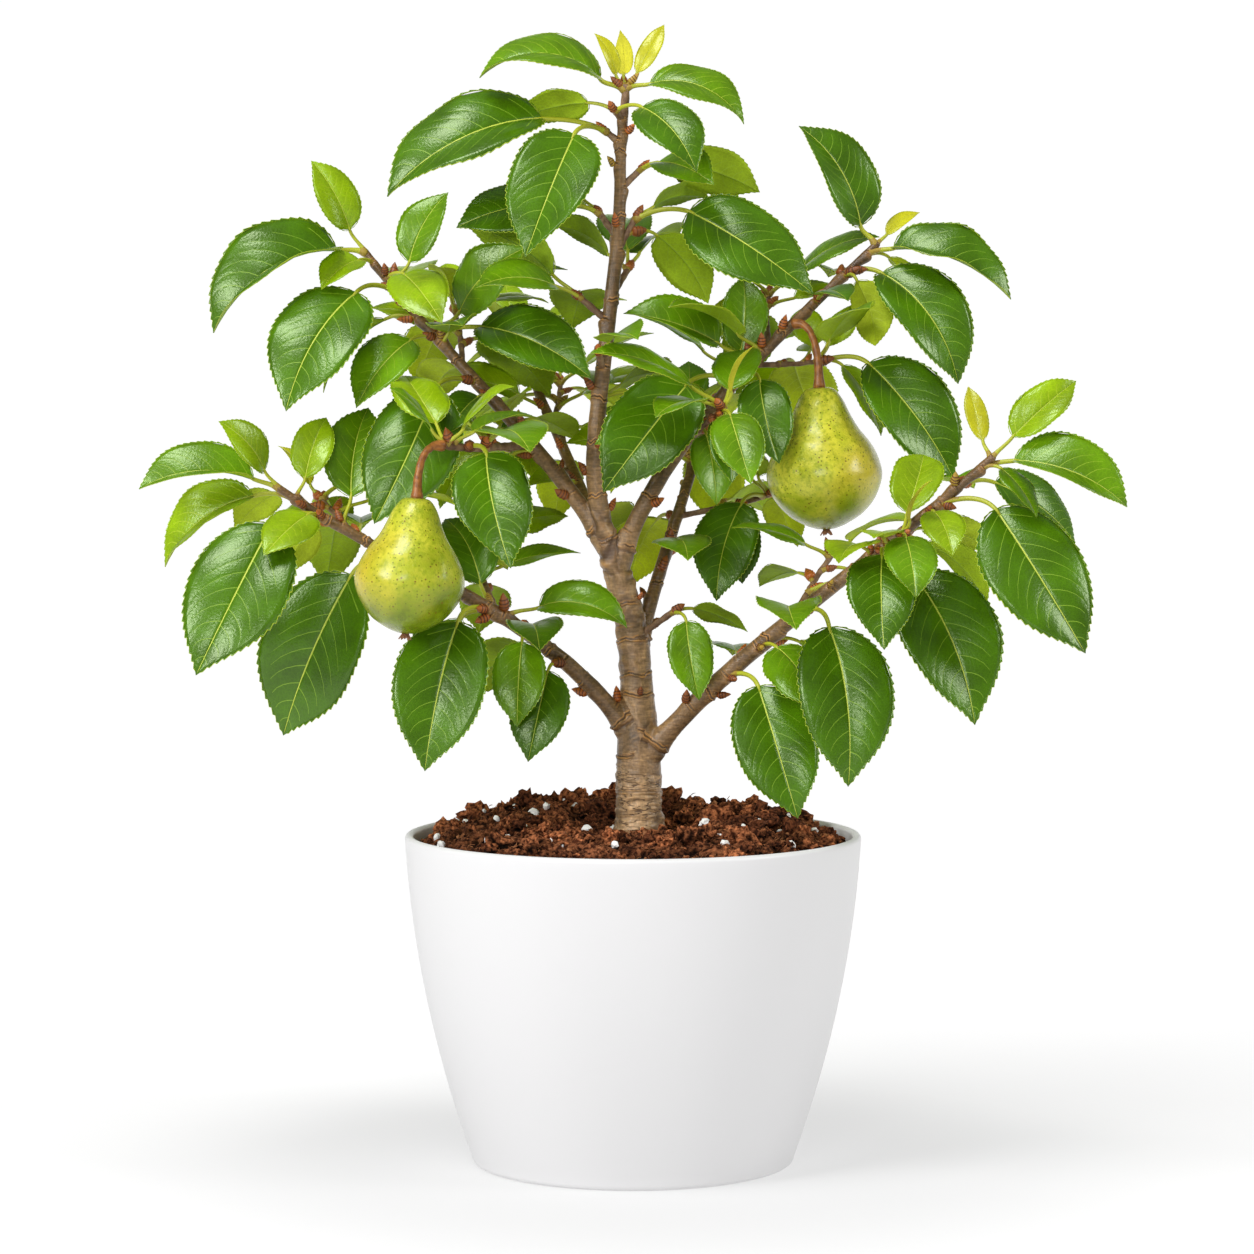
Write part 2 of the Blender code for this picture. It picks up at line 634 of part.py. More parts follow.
def make_pear(mass, collection, materials):
    """Turned pear on its bowed stalk, joined by the union of its mass."""
    stalk, length, tilt = mass.pear
    profile = [(r * length * PEAR_SLIMNESS, -t * length) for t, r in PEAR_PROFILE]
    pear = turned(mass.name + " pear", profile, PEAR_STEPS, collection, materials["pear"])
    lean = math.radians(tilt)
    top = stalk[-1][0] + UP * MM
    for vertex in pear.data.vertices:
        x, y, z = vertex.co
        across = x * math.cos(lean) + z * math.sin(lean)
        vertex.co = top + Vector((across, y, z * math.cos(lean) - x * math.sin(lean)))
    tube(mass.name + " stalk", stalk, 1, collection, materials["bark"])


def limb_rings(limb):
    return max(3, round(limb.length() / LIMB_RING_SPACING))


def biggest_body(mesh):
    """Keeps the mesh's biggest connected body, so that scraps and sealed hollows go."""
    whole = bmesh.new()
    whole.from_mesh(mesh)
    left, bodies = set(whole.faces), []
    while left:
        body, edge = [], [left.pop()]
        while edge:
            face = edge.pop()
            body.append(face)
            near = {other for side in face.edges for other in side.link_faces} & left
            left -= near
            edge.extend(near)
        bodies.append(body)
    bodies.sort(key=len)
    scraps = [face for body in bodies[:-1] for face in body]
    bmesh.ops.delete(whole, geom=scraps, context="FACES")
    bmesh.ops.triangulate(whole, faces=whole.faces)
    whole.to_mesh(mesh)
    whole.free()


def make_mass(mass, parts, grown_trunk, materials):
    """One solid: stem, twigs, leaves and pear of a mass, joined by one union."""
    stations = mass.stem.stations(0.0, 1.0, limb_rings(mass.stem))
    stem = tube("foliage_" + mass.name, stations, 2, parts, materials["bark"])
    if mass.bare:
        point, ahead, _ = mass.stem.at(mass.bare)
        cut_flat(stem.data, point + ahead * GAP, -ahead)
    else:
        boolean(stem, "DIFFERENCE", object=grown_trunk)
    pieces = bpy.data.collections.new(mass.name + " pieces")
    bpy.context.scene.collection.children.link(pieces)
    for number, twig in enumerate(mass.twigs):
        tube(f"{mass.name} twig {number}", twig.stations(0.0, 1.0, 4), 1, pieces, materials["bark"])
    for number, leaf in enumerate(mass.leaves):
        from_bmesh(f"{mass.name} leaf {number}", loft_mesh(*leaf.rings()), pieces, materials["leaf"])
    if mass.pear:
        make_pear(mass, pieces, materials)
    boolean(stem, "UNION", collection=pieces)
    biggest_body(stem.data)
    for piece in list(pieces.objects):
        bpy.data.objects.remove(piece)
    bpy.data.collections.remove(pieces)
    return stem


def main():
    for old in list(bpy.data.objects):
        bpy.data.objects.remove(old)
    parts = bpy.data.collections.new("potted pear tree")
    workshop = bpy.data.collections.new("cutters")
    for collection in (parts, workshop):
        bpy.context.scene.collection.children.link(collection)
    materials = {
        "pot": make_material("white plastic", (0.86, 0.86, 0.87), 0.45),
        "soil": make_material("peat soil", (0.06, 0.025, 0.015), 0.95),
        "bark": make_material("pear bark", (0.23, 0.15, 0.11), 0.75),
        "leaf": make_material("pear leaf", (0.07, 0.22, 0.03), 0.4),
        "pear": make_material("pear skin", (0.45, 0.55, 0.10), 0.4),
    }
    make_pot(parts, materials["pot"])
    make_soil(parts, materials["soil"])
    foot, radius = trunk_at(0)
    rooted = [(foot - UP * 4 * MM, radius)] + trunk_stations()
    trunk = tube("trunk", rooted, 3, parts, materials["bark"])
    grown_trunk = link("grown trunk", trunk.data.copy(), workshop, materials["bark"])
    for vertex in grown_trunk.data.vertices:
        vertex.co += vertex.normal * GAP * 1.2
    cut_flat(trunk.data, foot, -UP)
    grown_trunk.hide_render = True
    grown_trunk.display_type = "WIRE"

    boughs, masses = plan_crown()
    for name, (limb, bare) in boughs.items():
        stations = limb.stations(0.0, 1.0, limb_rings(limb))
        bough = tube("bough_" + name, stations, 3, parts, materials["bark"])
        point, ahead, _ = limb.at(bare)
        cut_flat(bough.data, point, ahead)
        boolean(bough, "DIFFERENCE", object=grown_trunk)
        biggest_body(bough.data)
    for mass in masses:
        make_mass(mass, parts, grown_trunk, materials)


taken = []  # search trees of all that has its place in the crown, so that leaves keep clear of each other

if __name__ == "__main__":
    main()
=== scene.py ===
import math
import random

import bmesh
import bpy
from mathutils import Matrix, Vector, noise
from mathutils.bvhtree import BVHTree
from mathutils.kdtree import KDTree


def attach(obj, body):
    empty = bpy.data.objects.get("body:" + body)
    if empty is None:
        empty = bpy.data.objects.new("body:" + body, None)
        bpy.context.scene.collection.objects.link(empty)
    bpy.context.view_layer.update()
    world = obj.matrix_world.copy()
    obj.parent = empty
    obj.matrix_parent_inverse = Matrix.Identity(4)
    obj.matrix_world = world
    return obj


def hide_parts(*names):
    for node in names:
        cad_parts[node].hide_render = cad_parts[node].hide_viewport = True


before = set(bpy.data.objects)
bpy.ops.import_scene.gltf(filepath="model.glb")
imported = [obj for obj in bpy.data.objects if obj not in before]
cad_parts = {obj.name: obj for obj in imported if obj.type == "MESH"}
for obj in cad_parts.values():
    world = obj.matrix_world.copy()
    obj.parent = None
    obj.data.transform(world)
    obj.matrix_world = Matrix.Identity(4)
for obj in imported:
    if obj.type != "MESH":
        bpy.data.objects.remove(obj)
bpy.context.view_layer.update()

# The picture: a long lens a little above the plant, in front of it, looks slightly down.
# The floor runs back and curves up into a white sweep, lit by a pale room and soft boxes. It also glows to stay
# white, and glows less round the pot's foot: a painted contact shadow.
MM = 0.001
UP = Vector((0, 0, 1))
NEAR = Vector((0, -1, 0))

camera_data = bpy.data.cameras.new("camera")
camera_data.lens = 117.7
camera_data.sensor_width = 36.0
camera_data.clip_end = 60.0
camera = bpy.data.objects.new("camera", camera_data)
camera.location = (-0.0035, -2.37, 0.458)
camera.rotation_euler = (math.radians(90 - 3.53), 0, 0)
bpy.context.scene.collection.objects.link(camera)
bpy.context.scene.camera = camera
bpy.context.scene.view_settings.view_transform = "Standard"

world = bpy.data.worlds.new("white room")
world.use_nodes = True
world.node_tree.nodes["Background"].inputs["Color"].default_value = (1, 1, 1, 1)
world.node_tree.nodes["Background"].inputs["Strength"].default_value = 0.17
bpy.context.scene.world = world


def soft_box(name, place, aim, size, power):
    """Large square lamp that looks at a point."""
    lamp = bpy.data.lights.new(name, "AREA")
    lamp.shape = "SQUARE"
    lamp.size = size
    lamp.energy = power
    box = bpy.data.objects.new(name, lamp)
    box.location = place
    box.rotation_euler = (Vector(aim) - Vector(place)).to_track_quat("-Z", "Y").to_euler()
    bpy.context.scene.collection.objects.link(box)


soft_box("top box", (-0.6, -0.8, 2.2), (0, 0, 0.4), 0.8, 26)
soft_box("left box", (-1.7, -1.5, 1.2), (0, 0, 0.4), 0.7, 25)
soft_box("front box", (-0.5, -2.6, 1.0), (0, 0, 0.4), 0.6, 14)
soft_box("right box", (2.0, -0.7, 1.2), (0, 0, 0.4), 0.7, 19)


def plain_shader(name, colour, roughness):
    """Material with its Principled shader, for the nodes of each finish to build on."""
    material = bpy.data.materials.new(name)
    material.use_nodes = True
    shader = material.node_tree.nodes["Principled BSDF"]
    shader.inputs["Base Color"].default_value = (*colour, 1)
    shader.inputs["Roughness"].default_value = roughness
    return material, shader, material.node_tree.nodes, material.node_tree.links


sweep_mesh = bmesh.new()
bmesh.ops.create_grid(sweep_mesh, x_segments=2, y_segments=48, size=6.0)
for vertex in sweep_mesh.verts:
    rise = max(0.0, vertex.co.y - 3.0)
    vertex.co.z = 0.35 * rise * rise
sweep_data = bpy.data.meshes.new("sweep")
sweep_mesh.to_mesh(sweep_data)
sweep_mesh.free()
sweep_data.shade_smooth()
sweep = bpy.data.objects.new("sweep", sweep_data)
bpy.context.scene.collection.objects.link(sweep)
sweep_material, shader, nodes, links = plain_shader("white sweep", (0.30, 0.30, 0.30), 0.9)
shader.inputs["Specular IOR Level"].default_value = 0.0
shader.inputs["Emission Color"].default_value = (1, 1, 1, 1)
coordinates = nodes.new("ShaderNodeTexCoord")
axes = nodes.new("ShaderNodeSeparateXYZ")
links.new(coordinates.outputs["Object"], axes.inputs["Vector"])
glow = nodes.new("ShaderNodeFloatCurve")
curve = glow.mapping.curves[0]
for spot, level in zip(curve.points, ((0.0, 0.2), (1.0, 0.9))):
    spot.location = level
for level in ((0.10, 0.60), (0.243, 0.73), (0.295, 0.735), (0.398, 0.81), (0.65, 0.89)):
    curve.points.new(*level)
glow.mapping.update()
far = nodes.new("ShaderNodeMapRange")
far.inputs["From Min"].default_value = -1.6
far.inputs["From Max"].default_value = 4.0
links.new(axes.outputs["Y"], far.inputs["Value"])
links.new(far.outputs["Result"], glow.inputs["Value"])
away = nodes.new("ShaderNodeVectorMath")
away.operation = "LENGTH"
links.new(coordinates.outputs["Object"], away.inputs[0])
# Painted contact shadow: the sweep's glow is weakened near the pot's foot, so the floor round it reads darker.
painted_contact_shadow = nodes.new("ShaderNodeMapRange")
painted_contact_shadow.interpolation_type = "SMOOTHERSTEP"
painted_contact_shadow.inputs["From Min"].default_value = 0.12
painted_contact_shadow.inputs["From Max"].default_value = 0.40
painted_contact_shadow.inputs["To Min"].default_value = 0.16
painted_contact_shadow.inputs["To Max"].default_value = 0.0
links.new(away.outputs["Value"], painted_contact_shadow.inputs["Value"])
glow_less_painted_shadow = nodes.new("ShaderNodeMath")
glow_less_painted_shadow.operation = "SUBTRACT"
links.new(glow.outputs["Value"], glow_less_painted_shadow.inputs[0])
links.new(painted_contact_shadow.outputs["Result"], glow_less_painted_shadow.inputs[1])
links.new(glow_less_painted_shadow.outputs["Value"], shader.inputs["Emission Strength"])
sweep_data.materials.append(sweep_material)

# The pot: a plain white moulded shell, satin outside, with a rounded lip and a softly rounded
# foot. Its printed side is left bare.
POT_HEIGHT = 0.192
RIM_RADIUS = 0.1325
FOOT_RADIUS = 0.0925
SIDE_BULGE = 0.0075
POT_WALL = 0.005
FOOT_ROUND = 0.004


def side_radius(height):
    """Outer radius of the pot at a height."""
    share = height / POT_HEIGHT
    return FOOT_RADIUS + (RIM_RADIUS - FOOT_RADIUS) * share + 4 * SIDE_BULGE * share * (1 - share)


def finish_piece(name, source, materials, node, smooth=True):
    """Makes a piece of the plant from a bmesh, which rides on the root and stands for a node."""
    data = bpy.data.meshes.new(name)
    source.to_mesh(data)
    source.free()
    if smooth:
        data.shade_smooth()
    for material in materials:
        data.materials.append(material)
    piece = bpy.data.objects.new(name, data)
    bpy.context.scene.collection.objects.link(piece)
    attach(piece, "root")
    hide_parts(*node)
    return piece


def turn_profile(profile, steps):
    """Closed body turned from a profile of (radius, height) that starts and ends on the axis."""
    body = bmesh.new()
    corners = [body.verts.new((radius, 0, height)) for radius, height in profile]
    edges = [body.edges.new(pair) for pair in zip(corners, corners[1:])]
    bmesh.ops.spin(body, geom=corners + edges, axis=(0, 0, 1), cent=(0, 0, 0),
                   steps=steps, angle=math.tau, use_merge=True)
    bmesh.ops.remove_doubles(body, verts=body.verts, dist=0.00001)
    bmesh.ops.recalc_face_normals(body, faces=body.faces)
    return body


pot_floor = 0.006
half_wall = POT_WALL / 2
pot_profile = [(0, pot_floor), (side_radius(pot_floor) - POT_WALL - 0.006, pot_floor)]
lip_height = POT_HEIGHT - half_wall
for step in range(33):
    height = pot_floor + 0.004 + (lip_height - pot_floor - 0.004) * step / 32
    pot_profile.append((side_radius(height) - POT_WALL, height))
lip_middle = side_radius(lip_height) - half_wall
for step in range(1, 12):
    angle = math.radians(180 - 15 * step)
    pot_profile.append((lip_middle + half_wall * math.cos(angle), lip_height + half_wall * math.sin(angle)))
for step in range(41):
    height = lip_height - (lip_height - FOOT_ROUND) * step / 40
    pot_profile.append((side_radius(height), height))
for step in range(1, 7):
    angle = math.radians(15 * step)
    foot = side_radius(FOOT_ROUND) - FOOT_ROUND
    pot_profile.append((foot + FOOT_ROUND * math.cos(angle), FOOT_ROUND - FOOT_ROUND * math.sin(angle)))
pot_profile.append((0, 0))

pot_white, shader, nodes, links = plain_shader("satin white plastic", (0.76, 0.755, 0.76), 0.42)
grain = nodes.new("ShaderNodeTexNoise")
grain.inputs["Scale"].default_value = 900.0
bump = nodes.new("ShaderNodeBump")
bump.inputs["Strength"].default_value = 0.06
bump.inputs["Distance"].default_value = 0.0002
coordinates = nodes.new("ShaderNodeTexCoord")
links.new(coordinates.outputs["Object"], grain.inputs["Vector"])
links.new(grain.outputs["Fac"], bump.inputs["Height"])
links.new(bump.outputs["Normal"], shader.inputs["Normal"])
finish_piece("pot_shell", turn_profile(pot_profile, 128), [pot_white], ["pot"])

# The soil: moist red-brown peat that fills the pot, heaped in a ring of fibrous clods round the trunk,
# with crumbs, loose fibres and white perlite grains lying on it.
SOIL_AT_WALL = 0.184
SOIL_HEAP = 0.0135
SOIL_HEAP_BEHIND = 0.4
SOIL_PATCH = 0.021
GAP = 0.3 * MM


def soil_level(x, y):
    """Height of the peat before its lumps, as in the solid."""
    radius = math.hypot(x, y)
    wall = side_radius(SOIL_AT_WALL) - POT_WALL - GAP
    share = min(1.0, (radius - SOIL_PATCH) / (wall - SOIL_PATCH))
    if share <= 0:
        return POT_HEIGHT - GAP
    level = POT_HEIGHT - GAP + (SOIL_AT_WALL - POT_HEIGHT + GAP) * share
    heap = SOIL_HEAP * (1 + SOIL_HEAP_BEHIND * y / radius) * share**0.5
    return level + math.sin(math.pi * share) * heap


def lumps(x, y):
    """Height of the clods over the peat's level."""
    place = Vector((x, y, 0))
    clods = noise.noise(place * 75) * 0.0046 + (0.3 - abs(noise.noise(place * 105 + UP))) * 0.0080
    crumbs = (0.25 - abs(noise.noise(place * 300))) * 0.0040 + noise.noise(place * 800) * 0.0010
    edge = min(1.0, max(0.0, (0.124 - math.hypot(x, y)) / 0.02))
    foot = min(1.0, max(0.15, (math.hypot(x - 0.004, y) - 0.014) / 0.02))
    return (clods + crumbs) * (0.25 + 0.75 * edge) * foot


soil_mesh = bmesh.new()
bmesh.ops.create_circle(soil_mesh, cap_ends=True, cap_tris=True, segments=240, radius=0.1)
bmesh.ops.subdivide_edges(soil_mesh, edges=[e for e in soil_mesh.edges if not e.is_boundary], cuts=95,
                          use_grid_fill=True)
wall_radius = side_radius(SOIL_AT_WALL) - POT_WALL - GAP
# Each point's lump height, kept for the peat's painted pit shade.
painted_pit_shade_height = soil_mesh.verts.layers.float.new("height")
for vertex in soil_mesh.verts:
    x, y = vertex.co.x / 0.1 * wall_radius, vertex.co.y / 0.1 * wall_radius
    high = lumps(x, y)
    vertex[painted_pit_shade_height] = high * 300
    vertex.co = (x, y, soil_level(x, y) + high)
rim = [e for e in soil_mesh.edges if e.is_boundary]
skirt = bmesh.ops.extrude_edge_only(soil_mesh, edges=rim)
for vertex in [v for v in skirt["geom"] if isinstance(v, bmesh.types.BMVert)]:
    vertex.co.z = 0.15
    narrower = (side_radius(0.15) - POT_WALL - GAP) / wall_radius
    vertex.co.x *= narrower
    vertex.co.y *= narrower
bmesh.ops.contextual_create(soil_mesh, geom=[e for e in soil_mesh.edges if e.is_boundary])
bmesh.ops.recalc_face_normals(soil_mesh, faces=soil_mesh.faces)


def blend_nodes(nodes, links, first, second, factor, mode="MIX"):
    """Mixes two colours, each a value or a socket, by a factor, and gives the result's socket."""
    mix = nodes.new("ShaderNodeMix")
    mix.data_type = "RGBA"
    mix.blend_type = mode
    for socket, value in (("A", first), ("B", second), ("Factor", factor)):
        if isinstance(value, bpy.types.NodeSocket):
            links.new(value, mix.inputs[socket])
        else:
            mix.inputs[socket].default_value = value
    return mix.outputs["Result"]


def attribute(nodes, name):
    value = nodes.new("ShaderNodeAttribute")
    value.attribute_name = name
    return value.outputs["Fac"]


def noise_between(nodes, links, scale, low, high, detail=2.0):
    """Noise at a scale, spread from 0 to 1 between two of its own values."""
    coordinates = nodes.new("ShaderNodeTexCoord")
    cloud = nodes.new("ShaderNodeTexNoise")
    cloud.inputs["Scale"].default_value = scale
    cloud.inputs["Detail"].default_value = detail
    links.new(coordinates.outputs["Object"], cloud.inputs["Vector"])
    spread = nodes.new("ShaderNodeMapRange")
    spread.inputs["From Min"].default_value = low
    spread.inputs["From Max"].default_value = high
    links.new(cloud.outputs["Fac"], spread.inputs["Value"])
    return spread.outputs["Result"]


def peat_finish(name, dark, pale, paint_pit_shade):
    """Dull fibrous peat, blotched from dark to pale; if asked, painted shade darkens its pits and painted light
    brightens its highest points.
    """
    material, shader, nodes, links = plain_shader(name, pale, 0.9)
    colour = blend_nodes(nodes, links, (*dark, 1), (*pale, 1), noise_between(nodes, links, 420, 0.40, 0.64, 6.0))
    if paint_pit_shade:
        # Painted shade and light: the colour is multiplied down where the height attribute is low and up where it is
        # high.
        painted_pit_shade = nodes.new("ShaderNodeMapRange")
        painted_pit_shade.inputs["From Min"].default_value = -0.3
        painted_pit_shade.inputs["From Max"].default_value = 0.9
        painted_pit_shade.inputs["To Min"].default_value = 0.03
        painted_pit_shade.inputs["To Max"].default_value = 1.5
        links.new(attribute(nodes, "height"), painted_pit_shade.inputs["Value"])
        colour = blend_nodes(nodes, links, colour, painted_pit_shade.outputs["Result"], 1.0, "MULTIPLY")
    links.new(colour, shader.inputs["Base Color"])
    bump = nodes.new("ShaderNodeBump")
    bump.inputs["Distance"].default_value = 0.0012
    links.new(noise_between(nodes, links, 900, 0.2, 0.8, 5.0), bump.inputs["Height"])
    links.new(bump.outputs["Normal"], shader.inputs["Normal"])
    shader.inputs["Specular IOR Level"].default_value = 0.08
    return material


peat = peat_finish("moist peat", (0.030, 0.009, 0.004), (0.29, 0.102, 0.043), True)
finish_piece("peat", soil_mesh, [peat], ["soil"])


def scatter(strewn, count, sizes, rng, sink, squash, detail, rough, kinds):
    """Small rough lumps strewn over the peat, added to a mesh, with a value on each point for the peat's painted
    shade.
    """
    layer = strewn.verts.layers.float.get("height") or strewn.verts.layers.float.new("height")
    for _ in range(count):
        radius = math.sqrt(rng.uniform(0.02, 0.97)) * wall_radius
        turn = rng.uniform(0, math.tau)
        size = sizes[0] + (sizes[1] - sizes[0]) * rng.random() ** 2
        radius = min(radius, wall_radius - 0.9 * size)
        x, y = radius * math.cos(turn), radius * math.sin(turn)
        if math.hypot(x - 0.004, y) < 0.015 + size / 2:
            continue
        lump = bmesh.ops.create_icosphere(strewn, subdivisions=detail, radius=size / 2)["verts"]
        seat = Vector((x, y, soil_level(x, y) + lumps(x, y) + size * sink))
        spin = Matrix.Rotation(rng.uniform(0, math.tau), 3, Vector((rng.uniform(-1, 1), rng.uniform(-1, 1), 1)))
        kind = rng.choice(kinds)
        patch = 0.9 * noise.noise(seat * 60)
        for vertex in lump:
            coarse = noise.noise(vertex.co * (1.6 / size) + seat * 900)
            fine = noise.noise(vertex.co * (5.0 / size) + seat * 700)
            crumb = noise.noise(vertex.co * (13.0 / size) + seat * 800)
            flat = spin @ Vector((vertex.co.x, vertex.co.y * 0.8, vertex.co.z * squash))
            # Painted shade: low in the lump's hollows and on its lower side against the soil; patch adds a random
            # tone per lump.
            vertex[layer] = 0.22 + 0.9 * fine + 1.3 * crumb + 1.2 * flat.z / size + patch
            vertex.co = seat + flat * (1 + rough * (coarse + 0.7 * fine + 0.5 * crumb))
            for face in vertex.link_faces:
                face.material_index = kind


rng = random.Random(5)
clods = bmesh.new()
scatter(clods, 90, (0.0110, 0.0210), rng, -0.06, 0.7, 3, 0.9, (0, 1))
scatter(clods, 110, (0.0055, 0.0110), rng, 0.02, 0.75, 3, 0.9, (0, 0, 1))
scatter(clods, 900, (0.0014, 0.0050), rng, 0.1, 0.75, 1, 0.6, (0, 1, 2))
for _ in range(1100):
    radius, turn = math.sqrt(rng.uniform(0.03, 0.95)) * (wall_radius - 0.004), rng.uniform(0, math.tau)
    x, y = radius * math.cos(turn), radius * math.sin(turn)
    if math.hypot(x - 0.004, y) < 0.019:
        continue
    middle = Vector((x, y, soil_level(x, y) + lumps(x, y) + rng.uniform(0.0002, 0.0022)))
    heading, rise, length = rng.uniform(0, math.tau), rng.uniform(-0.3, 0.7), rng.uniform(0.002, 0.0065)
    ahead = Vector((math.cos(heading) * math.cos(rise), math.sin(heading) * math.cos(rise), math.sin(rise)))
    side = ahead.orthogonal().normalized()
    other = ahead.cross(side)
    loops = []
    for step in range(4):
        t = step / 3
        bow = side * (0.25 * length * math.sin(math.pi * t))
        thick = 0.00028 * (1.0 if 0 < step < 3 else 0.4)
        centre = middle + ahead * ((t - 0.5) * length) + bow
        loops.append([clods.verts.new(centre + (side * math.cos(a) + other * math.sin(a)) * thick)
                      for a in (0, 2.094, 4.189)])
    kind = rng.choice((1, 2, 2))
    for low, high in zip(loops, loops[1:]):
        for a in range(3):
            b = (a + 1) % 3
            clods.faces.new((low[a], low[b], high[b], high[a])).material_index = kind
    clods.faces.new(reversed(loops[0])).material_index = kind
    clods.faces.new(loops[-1]).material_index = kind
bmesh.ops.recalc_face_normals(clods, faces=clods.faces)
clod_finishes = [
    peat_finish("dark peat clods", (0.026, 0.008, 0.004), (0.19, 0.062, 0.026), True),
    peat_finish("brown peat clods", (0.06, 0.017, 0.007), (0.50, 0.175, 0.070), True),
    peat_finish("rust peat fibres", (0.18, 0.060, 0.024), (0.56, 0.24, 0.105), False),
]
finish_piece("peat_clods", clods, clod_finishes, ["soil"], False)

perlite = plain_shader("perlite", (0.95, 0.94, 0.92), 0.6)[0]
grains = bmesh.new()
scatter(grains, 85, (0.0014, 0.0068), random.Random(12), 0.30, 0.8, 2, 0.45, (0,))
finish_piece("perlite_grains", grains, [perlite], ["soil"], False)

# Trunk and boughs: living wood that tapers from a flared foot, with a raised node at each leaf and
# ring scars between them. The whole plant is planned first, by the same rule as the solids, because
# the bark swells where a leaf, a bud or a spur leaves it.
# Trunk: height above the soil, lean to the right, lean to the back and radius, in millimetres
TRUNK_STATIONS = (
    (0, 4, 0, 15.4),
    (12, 3.5, 0, 13.9),
    (50, 3, 1, 12.6),
    (80, 2.5, 2, 9.9),
    (125, -2, 3, 9.0),
    (160, -12, 2, 7.6),
    (180, -18.5, 0, 6.0),
    (222, -22, -3, 5.3),
    (255, -19, -3, 4.6),
    (305, -13, 0, 4.2),
    (355, -8, 2, 3.8),
    (395, -7, 1, 3.1),
    (418, -5, 0, 2.6),
)
TRUNK_RINGS = 24

# Boughs: height on the trunk, headings and rises at foot, middle and tip in degrees, length, radius at
# foot and tip, share that is bare. Heading 0 is to the right, 90 to the back, 180 to the left.
BOUGHS = {
    "lower_right": (39, (-22, -26, -24), (50, 37, 41), 284, 6.2, 2.4, 0.24),
    "lower_left": (50, (190, 193, 190), (60, 30, 36), 262, 5.4, 2.3, 0.20),
    "upper_left": (166, (174, 168, 164), (58, 47, 52), 226, 5.2, 2.2, 0.22),
    "upper_right": (153, (6, 12, 8), (72, 47, 44), 248, 5.4, 2.3, 0.20),
    "rear_right": (100, (50, 66, 76), (68, 50, 32), 226, 4.5, 2.0, 0.24),
    "rear_left": (128, (128, 116, 108), (60, 44, 32), 228, 4.7, 2.0, 0.22),
}
BOUGH_STEPS = 12

# Side twigs: share of the bough, heading, rise, length in millimetres, radius at the foot
SIDE_TWIGS = {
    "lower_right": ((0.46, 62, 34, 62, 1.9), (0.66, 300, 22, 40, 1.7)),
    "lower_left": ((0.44, 112, 36, 60, 1.9), (0.80, 128, 30, 40, 1.7)),
    "upper_left": ((0.33, 238, -1, 86, 2.5), (0.60, 96, 34, 58, 1.8)),
    "upper_right": ((0.34, 296, 22, 52, 2.0), (0.58, 14, 2, 42, 1.7), (0.64, 90, 34, 56, 1.8)),
    "rear_right": ((0.42, 4, 12, 58, 1.8), (0.60, 96, 26, 46, 1.8)),
    "rear_left": ((0.44, 176, 20, 56, 1.8), (0.62, 84, 30, 50, 1.8)),
}

# Spurs on the trunk's upper part: height on it, heading, rise, length, and leaves that the rule adds
SPURS = {
    "spur_a": (398, 186, 40, 10, 0),
    "spur_b": (411, 240, 30, 10, 1),
    "spur_c": (372, 20, 44, 14, 1),
    "spur_d": (336, 16, 60, 20, 1),
    "spur_e": (344, 126, 40, 20, 3),
    "spur_f": (310, 60, 42, 22, 3),
    "spur_g": (296, 176, 40, 18, 3),
    "spur_h": (268, 262, 34, 14, 2),
    "spur_i": (236, 84, 40, 20, 3),
    "spur_j": (112, 338, 34, 22, 0),
}

